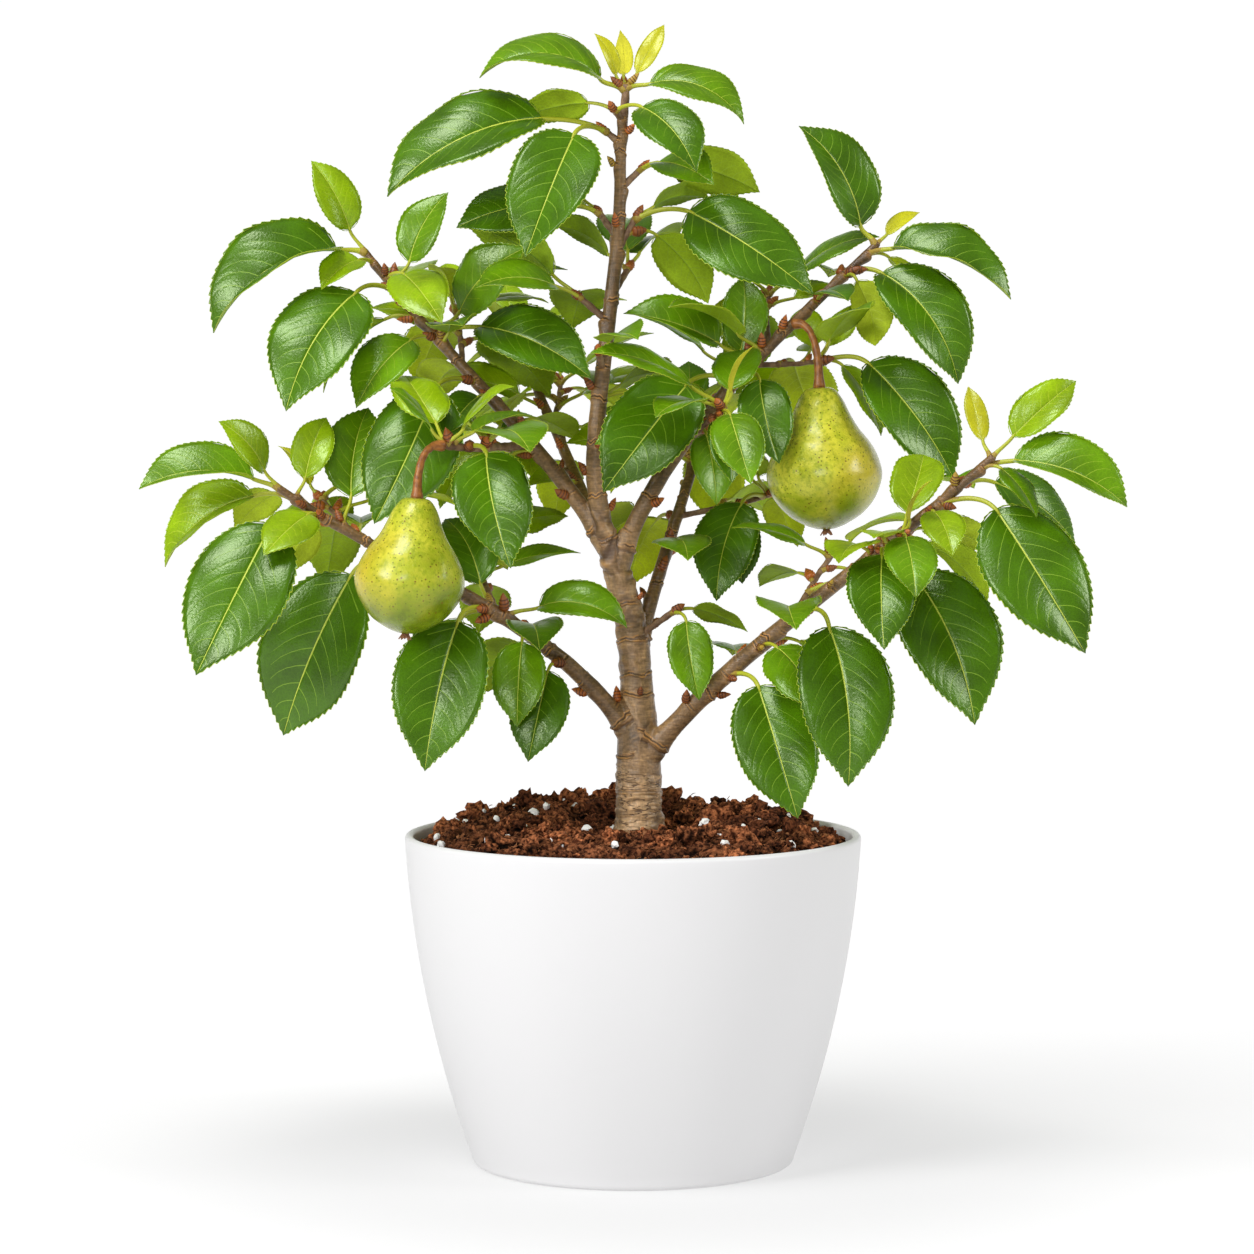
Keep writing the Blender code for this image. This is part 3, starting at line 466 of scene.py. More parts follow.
# Leaves that give the crown its outline: share of the stem, heading, rise, length in millimetres, how
# far the face turns to the front (below 0 to the back), and for some their own arch, fold and petiole
SHOWN_LEAVES = {
    "lower_right": (
        (1.00, 6, 42, 49, 1, 42, 26), (0.96, -13, -20, 73, 0.7, 62, 30, 0.27), (0.90, 22, -33, 66, 1),
        (0.85, -30, -55, 98, 1.2), (0.99, 124, 66, 34, 1), (0.36, -60, -38, 60, 1),
        (0.88, -62, -54, 42, -1), (0.65, -41, -62, 96, 1.2), (0.49, -66, -75, 93, 1),
        (0.42, -74, -60, 40, -1), (0.27, -52, -64, 83, 1.2),
    ),
    "lower_left": (
        (0.66, 157, -65, 106, 1.2), (1.00, 187, -5, 68, 0.5, 62, 30, 0.24), (1.0, 216, 43, 42, 1),
        (0.95, 166, -38, 70, 0.7, 56, 24), (0.88, 220, -58, 100, 1.1), (0.85, 150, -50, 42, -1),
        (0.83, 72, 62, 60, 1), (0.95, 60, 58, 42, 1), (0.45, 122, 42, 58, 1),
        (0.46, 238, -68, 91, 1.2), (0.36, 262, -70, 52, 1), (0.42, -12, -12, 59, 0.9, 88, 26),
        (0.25, 240, -66, 57, 1),
    ),
    "upper_left": (
        (1.00, 198, -33, 99, 0.6, 90, 32, 0.18), (1.00, 190, 61, 47, 1, 42, 28), (0.86, 227, -50, 90, 1.2),
        (0.90, 300, -30, 58, 1), (0.69, 222, -44, 58, 1), (0.70, -30, 40, 60, 1.6),
        (0.70, -24, -22, 80, 1.0, 58, 24), (0.54, 224, -58, 92, 1.2), (0.88, 14, 60, 48, 1),
    ),
    "upper_left twig 0": ((0.75, 292, -58, 76, 1.2),),
    "upper_right": (
        (1.00, 176, 58, 71, 0.8, 54, 28, 0.2), (0.96, -10, -24, 80, 0.6, 76, 32, 0.2),
        (0.90, -23, -53, 86, 0.9, 70, 28, 0.24), (0.88, -60, -62, 45, -1), (1.00, 24, 30, 28, 1),
        (0.52, 214, -46, 88, 1.2), (0.58, 190, 18, 62, 1, 56, 24), (0.38, 290, -66, 46, 1),
        (0.55, 300, -66, 54, 1), (0.54, 84, 70, 48, 1),
    ),
    "upper_right twig 0": ((0.85, 290, -50, 52, 1),),
    "upper_right twig 1": ((0.95, -18, -51, 87, 1), (0.86, -40, -64, 74, 1)),
    "rear_right": ((0.38, 236, -70, 44, 1),),
    "rear_right twig 0": ((0.92, -38, -56, 62, 1), (0.90, 236, -64, 64, 1)),
    "spur_a": ((1.0, 233, -57, 86, 1.2), (1.0, 190, -26, 107, 0.8, 66, 24)),
    "spur_b": ((1.0, 314, -40, 60, 1.2),),
    "spur_c": ((1.0, 16, -16, 58, -1.2),),
    "spur_d": ((1.0, 342, -32, 92, 1.4, 50, 20), (0.5, 20, -50, 52, -1)),
    "spur_j": ((1.0, 300, -72, 48, 1), (1.0, 10, -24, 36, -0.6)),
    "top": (
        (0.84, 190, 1, 80, 0.65, 94, 30, 0.2), (0.92, 350, -23, 65, 0.7, 80, 30, 0.22),
        (1.0, 200, 62, 28, 1), (0.94, 20, 60, 34, 1), (0.90, 100, 66, 30, -1),
    ),
}

# Leaves that the rule adds: turn from one to the next round the stem, spacing along it, length at the
# stem's foot and tip
LEAF_TURN = 137.5
LEAF_SPACING = 0.021
LEAF_LENGTHS = (0.070, 0.050)
TIP_LEAF = 0.036
LEAF_TRIES = 9
SHOWN_SWING = 0.4
MASS_REACH = 0.150
SEED = 24

# Leaf: blade width and thickness, petiole and fold as shares of the blade's length or in metres
LEAF_WIDTH = 0.62
LEAF_THICKNESS = 0.0125
PETIOLE_SHARE = 0.36
PETIOLE_RADIUS = 0.001
PETIOLE_RISE = 24
ROOT_INSET = 0.0025
LEAF_ARCH = 42
LEAF_FOLD = 16
LEAF_STATIONS = ((0.12, 0.70), (0.50, 1.0))
LEAF_CLEARANCE = 0.0008
TREE_SIDES = 10

# Pears: profile down the side as shares of length and radius; the mass that bears each, the share of its
# twig, the heading and lengths of the stalk's run and drop, and the pear's length
PEAR_SLIMNESS = 0.40
PEAR_PROFILE = (
    (0.0, 0.0), (0.0, 0.14), (0.02, 0.27), (0.10, 0.41), (0.20, 0.52), (0.30, 0.65), (0.42, 0.86),
    (0.58, 1.0), (0.70, 0.975), (0.80, 0.86), (0.90, 0.65), (0.97, 0.36), (1.0, 0.16), (0.975, 0.0),
)
PEARS = {
    "upper_left": ("twig 0", 1.0, 216, 18, 30, 76, 5),
    "upper_right": ("stem", 0.72, 322, 19, 38, 82, -3),
}
STALK_RADIUS = 0.0024
PEAR_VIEW = (25, 50, 75, 100)  # how far in front of a pear the rule keeps its leaves out, in millimetres


def direction(heading, rise):
    """Unit vector at a compass heading and a rise above level, both in degrees."""
    flat = math.cos(math.radians(rise))
    turn = math.radians(heading)
    return Vector((math.cos(turn) * flat, math.sin(turn) * flat, math.sin(math.radians(rise))))


def through_three(values, share):
    """Value at a share of the way on the parabola through foot, middle and tip values."""
    foot, middle, tip = values
    near_foot = foot * (1 - share) * (1 - 2 * share)
    return near_foot + middle * 4 * share * (1 - share) + tip * share * (2 * share - 1)


def smooth_row(rows, where):
    """Row of values at a place along rows that are sorted by their first value, on a smooth curve."""
    last = len(rows) - 1
    index = max(i for i in range(last) if i == 0 or rows[i][0] <= where)
    before, here, there, after = (rows[min(max(index + k, 0), last)] for k in (-1, 0, 1, 2))
    span = there[0] - here[0]
    t = (where - here[0]) / span
    values = []
    for a, b, c, d in list(zip(before, here, there, after))[1:]:
        slope_in = (c - a) / (there[0] - before[0]) * span
        slope_out = (d - b) / (after[0] - here[0]) * span
        bend = (2 * t**3 - 3 * t**2) * (b - c) + (t**3 - 2 * t**2 + t) * slope_in
        values.append(b + bend + (t**3 - t**2) * slope_out)
    return values


class Limb:
    """A tapering limb, from the points along its middle and the radius at its foot and tip."""

    def __init__(self, points, foot_radius, tip_radius):
        self.points = points
        self.radii = (foot_radius, tip_radius)

    def at(self, share):
        """Middle point, direction and radius at a share of the limb's length."""
        place = min(max(share, 0.0), 1.0) * (len(self.points) - 1)
        index = min(int(place), len(self.points) - 2)
        start, end = self.points[index], self.points[index + 1]
        foot, tip = self.radii
        return start.lerp(end, place - index), (end - start).normalized(), foot + (tip - foot) * share

    def stations(self, first, last, count):
        """Middle points and radii of a stretch of the limb."""
        shares = [first + (last - first) * i / (count - 1) for i in range(count)]
        return [(self.at(share)[0], self.at(share)[2]) for share in shares]

    def length(self):
        return sum((b - a).length for a, b in zip(self.points, self.points[1:]))


def grow_limb(start, headings, rises, length, foot_radius, tip_radius, steps=BOUGH_STEPS):
    """Limb that leaves its start and follows headings and rises given at foot, middle and tip."""
    points = [start]
    for step in range(steps):
        share = (step + 0.5) / steps
        ahead = direction(through_three(headings, share), through_three(rises, share))
        points.append(points[-1] + ahead * (length / steps))
    return Limb(points, foot_radius, tip_radius)


def trunk_at(height):
    """Middle of the trunk and its radius at a height above the soil in millimetres."""
    right, back, radius = smooth_row(TRUNK_STATIONS, height)
    return Vector((right * MM, back * MM, POT_HEIGHT + height * MM)), radius * MM


def trunk_stations():
    top = TRUNK_STATIONS[-1][0]
    return [trunk_at(top * (i / (TRUNK_RINGS - 1)) ** 1.15) for i in range(TRUNK_RINGS)]


class Leaf:
    """A leaf: the petiole's curve, and the blade's place, direction, bend and size."""

    def __init__(self, root, stem_ahead, heading, rise, length, face,
                 arch=LEAF_ARCH, fold=LEAF_FOLD, petiole=PETIOLE_SHARE):
        self.length = length
        self.arch, self.fold = math.radians(arch), math.radians(fold)
        self.ahead = direction(heading, rise)
        towards = UP + NEAR * face
        self.top = (towards - self.ahead * towards.dot(self.ahead)).normalized()
        self.side = self.top.cross(self.ahead)
        reach = petiole * length
        run = direction(heading, PETIOLE_RISE + 0.5 * rise)
        base = root + run * reach
        out = (stem_ahead * 0.4 + run * 1.3 + UP * 0.35).normalized()
        self.petiole = (root, root + out * reach * 0.4, base - self.tangent(0) * reach * 0.35, base)

    def tangent(self, share):
        angle = self.arch * (0.5 - share)
        return self.ahead * math.cos(angle) + self.top * math.sin(angle)

    def normal(self, share):
        angle = self.arch * (0.5 - share)
        return self.top * math.cos(angle) - self.ahead * math.sin(angle)

    def petiole_point(self, share):
        a, b, c, d = self.petiole
        left = 1 - share
        return a * left**3 + b * 3 * left**2 * share + c * 3 * left * share**2 + d * share**3

    def blade_point(self, share):
        """Point on the midrib, which is an arc that droops from its base to its tip."""
        half, here = self.arch / 2, self.arch * (0.5 - share)
        forward = math.sin(half) - math.sin(here)
        lift = math.cos(here) - math.cos(half)
        return self.petiole[3] + (self.ahead * forward + self.top * lift) * (self.length / self.arch)

    def rings(self, swell=0.0):
        """Rings of four points from the petiole's root to the leaf's tip, swollen by a clearance."""
        rings = []
        for share in (0.0, 0.5, 1.0):
            middle, round_it = self.petiole_point(share), PETIOLE_RADIUS + swell
            axes = (-self.side, self.top, self.side, -self.top)
            rings.append([middle + axis * round_it for axis in axes])
        half_thick = max(LEAF_THICKNESS * self.length, MM) / 2 + swell
        for share, width in LEAF_STATIONS:
            middle, normal = self.blade_point(share), self.normal(share)
            half = LEAF_WIDTH * self.length * width / 2 + swell
            edge = normal * half * math.sin(self.fold)
            across = self.side * half * math.cos(self.fold)
            rings.append(
                [middle - across + edge, middle + normal * half_thick, middle + across + edge,
                 middle - normal * half_thick]
            )
        return rings, self.blade_point(1.0)


def loft_mesh(rings, tip):
    """Closed mesh through rings of points, with a flat start and a pointed end."""
    mesh = bmesh.new()
    lofted = [[mesh.verts.new(point) for point in ring] for ring in rings]
    end = mesh.verts.new(tip)
    mesh.faces.new(lofted[0])
    for ring, following in zip(lofted, lofted[1:]):
        for i in range(len(ring)):
            j = (i + 1) % len(ring)
            mesh.faces.new((ring[i], ring[j], following[j], following[i]))
    for i, vertex in enumerate(lofted[-1]):
        mesh.faces.new((vertex, lofted[-1][(i + 1) % len(lofted[-1])], end))
    bmesh.ops.recalc_face_normals(mesh, faces=mesh.faces)
    return mesh


def search_tree(rings, tip):
    mesh = loft_mesh(rings, tip)
    tree = BVHTree.FromBMesh(mesh)
    mesh.free()
    return tree


def tube_tree(stations, swell=LEAF_CLEARANCE):
    """Search tree of a limb's outside, grown by a clearance."""
    rings = []
    for (point, radius), (ahead_of, _) in zip(stations, stations[1:] + stations[-1:]):
        ahead = (ahead_of - point) if ahead_of != point else (point - stations[-2][0])
        side = ahead.orthogonal().normalized()
        other = ahead.normalized().cross(side)
        turns = [math.radians(360 * i / TREE_SIDES) for i in range(TREE_SIDES)]
        reach = radius + swell
        rings.append([point + (side * math.cos(turn) + other * math.sin(turn)) * reach for turn in turns])
    return search_tree(rings, stations[-1][0] + (stations[-1][0] - stations[-2][0]).normalized() * MM)


class Mass:
    """A mass of foliage: its stem, its side twigs, its leaves and the pear that hangs in it."""

    def __init__(self, name, stem, bare):
        self.name, self.stem, self.bare = name, stem, bare
        self.twigs, self.leaves, self.pear = [], [], None

    def add_twig(self, share, heading, rise, length, radius):
        start = self.stem.at(share)[0]
        heading_of_stem = math.degrees(math.atan2(*reversed(self.stem.at(share)[1].xy)))
        bend = heading + 0.2 * ((heading_of_stem - heading + 180) % 360 - 180)
        foot = radius * MM
        headings, rises = (heading, heading, bend), (rise, rise, rise + 8)
        twig = grow_limb(start, headings, rises, length * MM, foot, foot * 0.8, 4)
        self.twigs.append(twig)
        taken.append(tube_tree(twig.stations(0.1, 1.0, 4)))

    def add_leaf(self, limb, share, heading, rise, length, face, rng, swing=1.0, shape=()):
        """Puts a leaf on a limb, turned a little till it keeps clear of all else, or leaves it out."""
        root, ahead, _ = limb.at(min(share, 1 - ROOT_INSET / limb.length()))
        for _ in range(LEAF_TRIES):
            leaf = Leaf(root, ahead, heading, rise, length, face, *shape)
            rings, tip = leaf.rings(LEAF_CLEARANCE)
            tree = search_tree(rings[1:], tip)
            near = min((tip - self.stem.at(i / 8)[0]).length for i in range(9)) < MASS_REACH
            if near and not any(tree.overlap(other) for other in taken):
                taken.append(tree)
                leaf.limb, leaf.share, leaf.shown = limb, share, swing < 1
                self.leaves.append(leaf)
                return
            heading += rng.uniform(-24, 24) * swing
            rise += rng.uniform(-14, 14) * swing
            length *= 1 - rng.uniform(0, 0.1) * swing

    def add_by_rule(self, limb, first, count, rng):
        """Leaves set round a limb at an even turn and spacing, and a tuft at its tip."""
        turn = rng.uniform(0, 360)
        for number in range(count):
            share = first + (1 - first) * (number + 0.5) / count
            _, ahead, _ = limb.at(share)
            level = ahead.cross(UP).normalized()
            turn += LEAF_TURN + rng.uniform(-12, 12)
            out = level * math.cos(math.radians(turn)) + level.cross(ahead) * math.sin(math.radians(turn))
            flat = out.xy.normalized() * 0.9 + ahead.xy * 0.7
            heading = math.degrees(math.atan2(flat.y, flat.x))
            rise = -22 + 34 * out.z + rng.uniform(-16, 16)
            inner, outer = LEAF_LENGTHS
            length = (inner + (outer - inner) * share) * rng.uniform(0.74, 1.14)
            self.add_leaf(limb, share, heading, rise, length, 1.1 * out.dot(NEAR), rng)

    def add_tuft(self, limb, rng):
        """Young leaves that stand up round a limb's tip."""
        _, ahead, _ = limb.at(1.0)
        heading = math.degrees(math.atan2(ahead.y, ahead.x)) + rng.uniform(-20, 20)
        for number in range(3):
            rise = 50 - 16 * number + rng.uniform(-10, 10)
            length = TIP_LEAF * (1 + 0.3 * number) * rng.uniform(0.85, 1.15)
            self.add_leaf(limb, 1.0, heading + 125 * number, rise, length, 0.4, rng)


def pear_curve(mass, where, share, heading, run, drop):
    """The stalk's bow from its twig to the top of its pear."""
    limb = mass.twigs[int(where[-1])] if where.startswith("twig") else mass.stem
    start = limb.at(share)[0]
    top = start + direction(heading, 0) * run * MM - UP * drop * MM
    bow = start + direction(heading, 0) * run * MM + UP * 4 * MM
    stations = []
    for i in range(6):
        t = i / 5
        point = start * (1 - t) ** 2 + bow * 2 * t * (1 - t) + top * t**2
        stations.append((point, STALK_RADIUS * (1 + 0.5 * (2 * t - 1) ** 2)))
    return stations


taken = []  # search trees of all that has its place in the crown, so that leaves keep clear of each other
taken.append(tube_tree(trunk_stations()))
rim_tube = [(Vector((0, 0, z)), RIM_RADIUS + 4 * MM) for z in (0.1, POT_HEIGHT + 0.012)]
taken.append(tube_tree(rim_tube))
boughs, masses = {}, []
for name, (height, headings, rises, length, foot, tip, bare) in BOUGHS.items():
    limb = grow_limb(trunk_at(height)[0], headings, rises, length * MM, foot * MM, tip * MM)
    boughs[name] = (limb, bare)
    taken.append(tube_tree(limb.stations(0.1, 1.0, 9)))
    masses.append(Mass(name, limb, bare))
for name, (height, heading, rise, length, _) in SPURS.items():
    foot, radius = trunk_at(height)
    reach = radius + length * MM
    limb = grow_limb(foot, (heading,) * 3, (rise,) * 3, reach, 2.0 * MM, 1.7 * MM, 3)
    masses.append(Mass(name, limb, 0.0))
(below, _), (tip, radius) = trunk_stations()[-2:]
ahead = (tip - below).normalized() * 6 * MM
top = Limb([tip - ahead, tip, tip + ahead, tip + ahead + UP * 8 * MM], radius * 1.02, radius * 0.8)
masses.append(Mass("top", top, 1 / 3))

in_front = []
for mass in masses:
    for twig in SIDE_TWIGS.get(mass.name, ()):
        mass.add_twig(*twig)
    if mass.name in PEARS:
        where, share, heading, run, drop, size, tilt = PEARS[mass.name]
        mass.pear = (pear_curve(mass, where, share, heading, run, drop), size * MM, tilt)
        top = mass.pear[0][-1][0]
        down = Vector((-math.sin(math.radians(tilt)), 0, -math.cos(math.radians(tilt)))) * size * MM
        body = [(top + down * t, r * size * MM * PEAR_SLIMNESS) for t, r in PEAR_PROFILE[2:-2]]
        taken.append(tube_tree(body, 2 * MM))
        taken.append(tube_tree(mass.pear[0][2:]))
        for shift in PEAR_VIEW:
            in_front.append(tube_tree([(point + NEAR * shift * MM, r * 0.8) for point, r in body]))
rng = random.Random(SEED)
for mass in masses:
    for number, limb in enumerate([mass.stem] + mass.twigs):
        name = f"{mass.name} twig {number - 1}" if number else mass.name
        for share, heading, rise, length, face, *shape in SHOWN_LEAVES.get(name, ()):
            mass.add_leaf(limb, share, heading, rise, length * MM, face, rng, SHOWN_SWING, shape)
taken.extend(in_front)
for number, mass in enumerate(masses):
    rng = random.Random(SEED + number)
    for twig in mass.twigs:
        mass.add_by_rule(twig, 0.3, 4, rng)
        mass.add_tuft(twig, rng)
    if mass.name in BOUGHS:
        count = int(mass.stem.length() * (1 - mass.bare) / LEAF_SPACING)
        if mass.name.startswith("rear"):
            mass.add_tuft(mass.stem, rng)
        mass.add_by_rule(mass.stem, mass.bare + 0.03, count, rng)
    elif mass.name in SPURS:
        for _ in range(SPURS[mass.name][4]):
            heading = SPURS[mass.name][1] + rng.uniform(-80, 80)
            length = rng.uniform(0.045, 0.068)
            face = math.copysign(0.9, -math.sin(math.radians(heading)))
            mass.add_leaf(mass.stem, 1.0, heading, rng.uniform(-35, 25), length, face, rng)


def evaluated_bmesh(thing):
    """The thing's mesh with its modifiers or its bevel applied. The thing itself is removed."""
    depsgraph = bpy.context.evaluated_depsgraph_get()
    mesh = bpy.data.meshes.new_from_object(thing.evaluated_get(depsgraph))
    bpy.data.objects.remove(thing)
    result = bmesh.new()
    result.from_mesh(mesh)
    bpy.data.meshes.remove(mesh)
    return result


def tubes(rows, resolution):
    """Round tapering tubes with closed ends through rows of (point, radius), as one bmesh."""
    curve = bpy.data.curves.new("tubes", "CURVE")
    curve.dimensions = "3D"
    curve.bevel_depth = 1.0
    curve.bevel_resolution = resolution
    curve.use_fill_caps = True
    for stations in rows:
        spline = curve.splines.new("POLY")
        spline.points.add(len(stations) - 1)
        for point, (middle, radius) in zip(spline.points, stations):
            point.co = (*middle, 1)
            point.radius = radius
    drawn = bpy.data.objects.new("tubes", curve)
    bpy.context.scene.collection.objects.link(drawn)
    result = evaluated_bmesh(drawn)
    bpy.data.curves.remove(curve)
    bmesh.ops.remove_doubles(result, verts=result.verts, dist=0.002 * MM)
    bmesh.ops.recalc_face_normals(result, faces=result.faces)
    return result


def round_turn(ahead, out):
    """Turn round a limb at which a direction out of it lies."""
    side = ahead.cross(NEAR).normalized() if abs(ahead.dot(NEAR)) < 0.95 else ahead.cross(UP).normalized()
    return math.atan2(out.dot(ahead.cross(side)), out.dot(side))


def out_at(ahead, turn):
    """Direction out of a limb at a turn round it."""
    side = ahead.cross(NEAR).normalized() if abs(ahead.dot(NEAR)) < 0.95 else ahead.cross(UP).normalized()
    return side * math.cos(turn) + ahead.cross(side) * math.sin(turn)


BARK_CELL = 0.00090   # edge of the bark mesh's faces
COLLAR = 0.0022       # how far a bough swells where it leaves the trunk
COLLAR_REACH = 0.011  # and how far along it that swelling dies away

limb_rows = [[(trunk_at(0)[0] - UP * 0.004, trunk_at(0)[1])] + trunk_stations()]
exits = []            # where each bough comes out of the trunk: place, direction and radius
for name, (limb, _) in boughs.items():
    inside = trunk_at(BOUGHS[name][0])[1]
    swollen = []
    for point, radius in limb.stations(0.0, 1.0, 60):
        away = max(0.0, (point - limb.points[0]).length - inside)
        swollen.append((point, radius + COLLAR * math.exp(-((away / COLLAR_REACH) ** 2))))
    limb_rows.append(swollen)
    ahead = (limb.points[1] - limb.points[0]).normalized()
    exits.append((limb.points[0] + ahead * inside, ahead, limb.radii[0], inside))

# Samples along the middle of every limb, to tell how far along and round its limb a point of bark lies
samples = []
for number, row in enumerate(limb_rows):
    along = 0.0
    for (here, radius), (there, _) in zip(row, row[1:]):
        span = (there - here).length
        steps = max(1, int(span / 0.0015))
        for step in range(steps):
            place, ahead = here.lerp(there, step / steps), (there - here).normalized()
            samples.append((place, radius, ahead, along + span * step / steps, number))
        along += span
middles = KDTree(len(samples))
for index, sample in enumerate(samples):
    middles.insert(sample[0], index)
middles.balance()
trunk_samples = [sample for sample in samples if sample[4] == 0]

# Nodes, where a leaf or a spur is or was: how far along, the turn, the size and whether it bears a bud
rng = random.Random(31)
marks = [[] for _ in limb_rows]
buds = []             # place, direction and length
for mass in masses:
    for leaf in mass.leaves:
        point, ahead, radius = leaf.limb.at(leaf.share)
        out = leaf.petiole[1] - leaf.petiole[0]
        out = (out - ahead * out.dot(ahead)).normalized()
        if mass.name in BOUGHS and leaf.limb is mass.stem and leaf.share < 0.985:
            number = 1 + list(BOUGHS).index(mass.name)
            marks[number].append((leaf.share * mass.stem.length(), round_turn(ahead, out), 1.0))
        if leaf.share < 0.93:
            spot = point + ahead * 0.0030 + out * (radius + 0.0002)
            buds.append((spot, (ahead * 0.7 + out * 0.85).normalized(), rng.uniform(0.0074, 0.0108)))
    if mass.name.startswith("spur"):
        foot, ahead, _ = mass.stem.at(0.0)
        sample = min(trunk_samples, key=lambda s: abs(s[0].z - foot.z))
        marks[0].append((sample[3], round_turn(sample[2], ahead), 1.5))
for number, row in enumerate(limb_rows):
    reach = sum((b[0] - a[0]).length for a, b in zip(row, row[1:]))
    along = 0.026 if not number else exits[number - 1][3] + 0.013
    turn = rng.uniform(0, math.tau)
    while along < reach - 0.006:
        near = [m for m in marks[number] if abs(m[0] - along) < 0.010 and math.cos(m[1] - turn) > 0.3]
        if not near:
            marks[number].append((along, turn, 0.8))
            if rng.random() < (0.45 if not number and along < 0.19 else 0.85):
                place, radius, ahead, _, _ = min(
                    (s for s in samples if s[4] == number), key=lambda s: abs(s[3] - along)
                )
                out = out_at(ahead, turn)
                size = rng.uniform(0.0062, 0.0100) if number or along > 0.19 else rng.uniform(0.0040, 0.0062)
                spot = place + out * (radius + 0.0001) + ahead * 0.0012
                buds.append((spot, (ahead * 0.85 + out * 0.7).normalized(), size))
        along += rng.uniform(0.014, 0.022)
        turn += math.radians(137.5) + rng.uniform(-0.4, 0.4)
    marks[number].sort()

# Ring scars, left by each year's end bud: how far along, the turn of the middle and the half width
rings = [[] for _ in limb_rows]
for number, row in enumerate(limb_rows):
    reach = sum((b[0] - a[0]).length for a, b in zip(row, row[1:]))
    along = 0.050 if not number else exits[number - 1][3] + 0.006
    while along < reach - 0.01:
        turn, half = rng.uniform(0, math.tau), rng.uniform(1.1, 2.8)
        if not number and rng.random() < 0.65:
            turn = round_turn(UP, NEAR) + rng.uniform(-0.7, 0.7)
        rings[number].append((along, turn, half))
        along += rng.uniform(0.011, 0.022) * (1.0 if not number and along < 0.16 else 2.2)

rough_wood = tubes(limb_rows, 6)
wood_data = bpy.data.meshes.new("rough wood")
rough_wood.to_mesh(wood_data)
rough_wood.free()
rough = bpy.data.objects.new("rough wood", wood_data)
bpy.context.scene.collection.objects.link(rough)
remesh = rough.modifiers.new("even skin", "REMESH")
remesh.mode = "VOXEL"
remesh.voxel_size = BARK_CELL
skin = evaluated_bmesh(rough)
bmesh.ops.smooth_vert(skin, verts=skin.verts, factor=0.5, use_axis_x=True, use_axis_y=True, use_axis_z=True)


def bell(distance, width):
    return math.exp(-((distance / width) ** 2))


def marks_at(number, along, turn, radius):
    """Relief and scar of a limb's nodes and rings, and how far past the nearest scar line a point lies."""
    relief = scar = 0.0
    lines = [(0.0, 0.0)]
    for place, centre, size in marks[number]:
        if abs(place - along) > 0.013:
            continue
        off = along - place
        aside = (turn - centre + math.pi) % math.tau - math.pi
        sideways = aside * radius
        body = bell(off, 0.0052) if off < 0 else bell(off, 0.0015)
        relief += 0.0013 * size * body * bell(sideways, 0.0032)
        scar += 0.45 * size * bell(off - 0.0008, 0.0014) * bell(sideways, 0.0030)
        wide = 1 if abs(aside) < 0.9 else bell(abs(aside) - 0.9, 0.5)
        lip = off - 0.0012 - 0.0006 * math.cos(aside)
        relief += (0.00030 * bell(lip, 0.0007) - 0.00025 * bell(lip - 0.0012, 0.0006)) * wide * size
        lines.append((0.7 * wide * size * bell(lip - 0.001, 0.0030), lip))
    for place, centre, half in rings[number]:
        if abs(place - along) > 0.008:
            continue
        aside = abs((turn - centre + math.pi) % math.tau - math.pi)
        wide = 1.0 if aside < half else bell(aside - half, 0.35)
        wander = noise.noise(Vector((math.cos(turn) * 1.5, math.sin(turn) * 1.5, place * 90))) * 0.0026
        wander += noise.noise(Vector((math.cos(turn) * 5, math.sin(turn) * 5, place * 170))) * 0.0007
        off = along - place - wander
        relief += (0.00055 * bell(off, 0.0009) - 0.00035 * bell(off - 0.0013, 0.0008)) * wide
        lines.append((1.1 * wide * bell(off - 0.001, 0.0032), off))
    weight, line = max(lines)
    return relief, scar, weight, line


def crotch_at(point, number):
    """Relief, scar and crack of the collar where a bough leaves the trunk."""
    relief = scar = crack = 0.0
    for index, (place, ahead, radius, _) in enumerate(exits):
        away = point - place
        if away.length > 0.030 or number not in (0, index + 1):
            continue
        run = away.dot(ahead)
        aside = (away - ahead * run).length
        wander = noise.noise(point * 160) * 0.0012
        fade = bell(max(0.0, away.length - 0.012), 0.008)
        if number == 0:
            for step, high in ((radius + 0.0036, 0.0007), (radius + 0.0075, 0.00045)):
                off = aside - step - wander
                relief += (high * bell(off, 0.0009) - 0.6 * high * bell(off + 0.0018, 0.0009)) * fade
                scar += 700 * high * bell(off, 0.0008) * fade * max(0.0, noise.noise(point * 230) + 0.35)
                crack += 1000 * high * bell(off + 0.0017, 0.0009) * fade
        else:
            off = run - 0.0055 - wander
            relief += (0.0005 * bell(off, 0.0009) - 0.0005 * bell(off + 0.0018, 0.0008))
            scar += 0.5 * bell(off, 0.0009)
            crack += 0.9 * bell(off + 0.0018, 0.0009)
    return relief, scar, crack


def bark_grain(along, turn, number, radius, height):
    """Relief and shade of the bark itself: lumps, wrinkles across the limb and folds near the soil."""
    girth = radius * 1.2
    x, y, h = math.cos(turn) * girth, math.sin(turn) * girth, along + 11.7 * number
    old = min(1.0, max(0.0, (radius - 0.0035) / 0.009))
    foot = bell(max(0.0, height - 0.018), 0.030) if not number else 0.0
    wrinkles = noise.noise(Vector((x * 170, y * 170, h * 760)))
    folds = noise.noise(Vector((x * 75, y * 75, h * 330)))
    lump = noise.noise(Vector((x * 110, y * 110, h * 70)))
    patches = noise.noise(Vector((x * 95, y * 95, h * 60 + 5)))
    relief = 0.00034 * lump * (0.4 + old) + 0.00008 * wrinkles * (0.6 + old)
    relief += foot * (0.00030 * wrinkles + 0.00095 * folds)
    split = min(1.0, foot * 1.3 * max(0.0, patches + 0.75) + 0.22 * old * max(0.0, patches + 0.1))
    return relief, split, 1.0 + 0.40 * wrinkles + 0.65 * patches


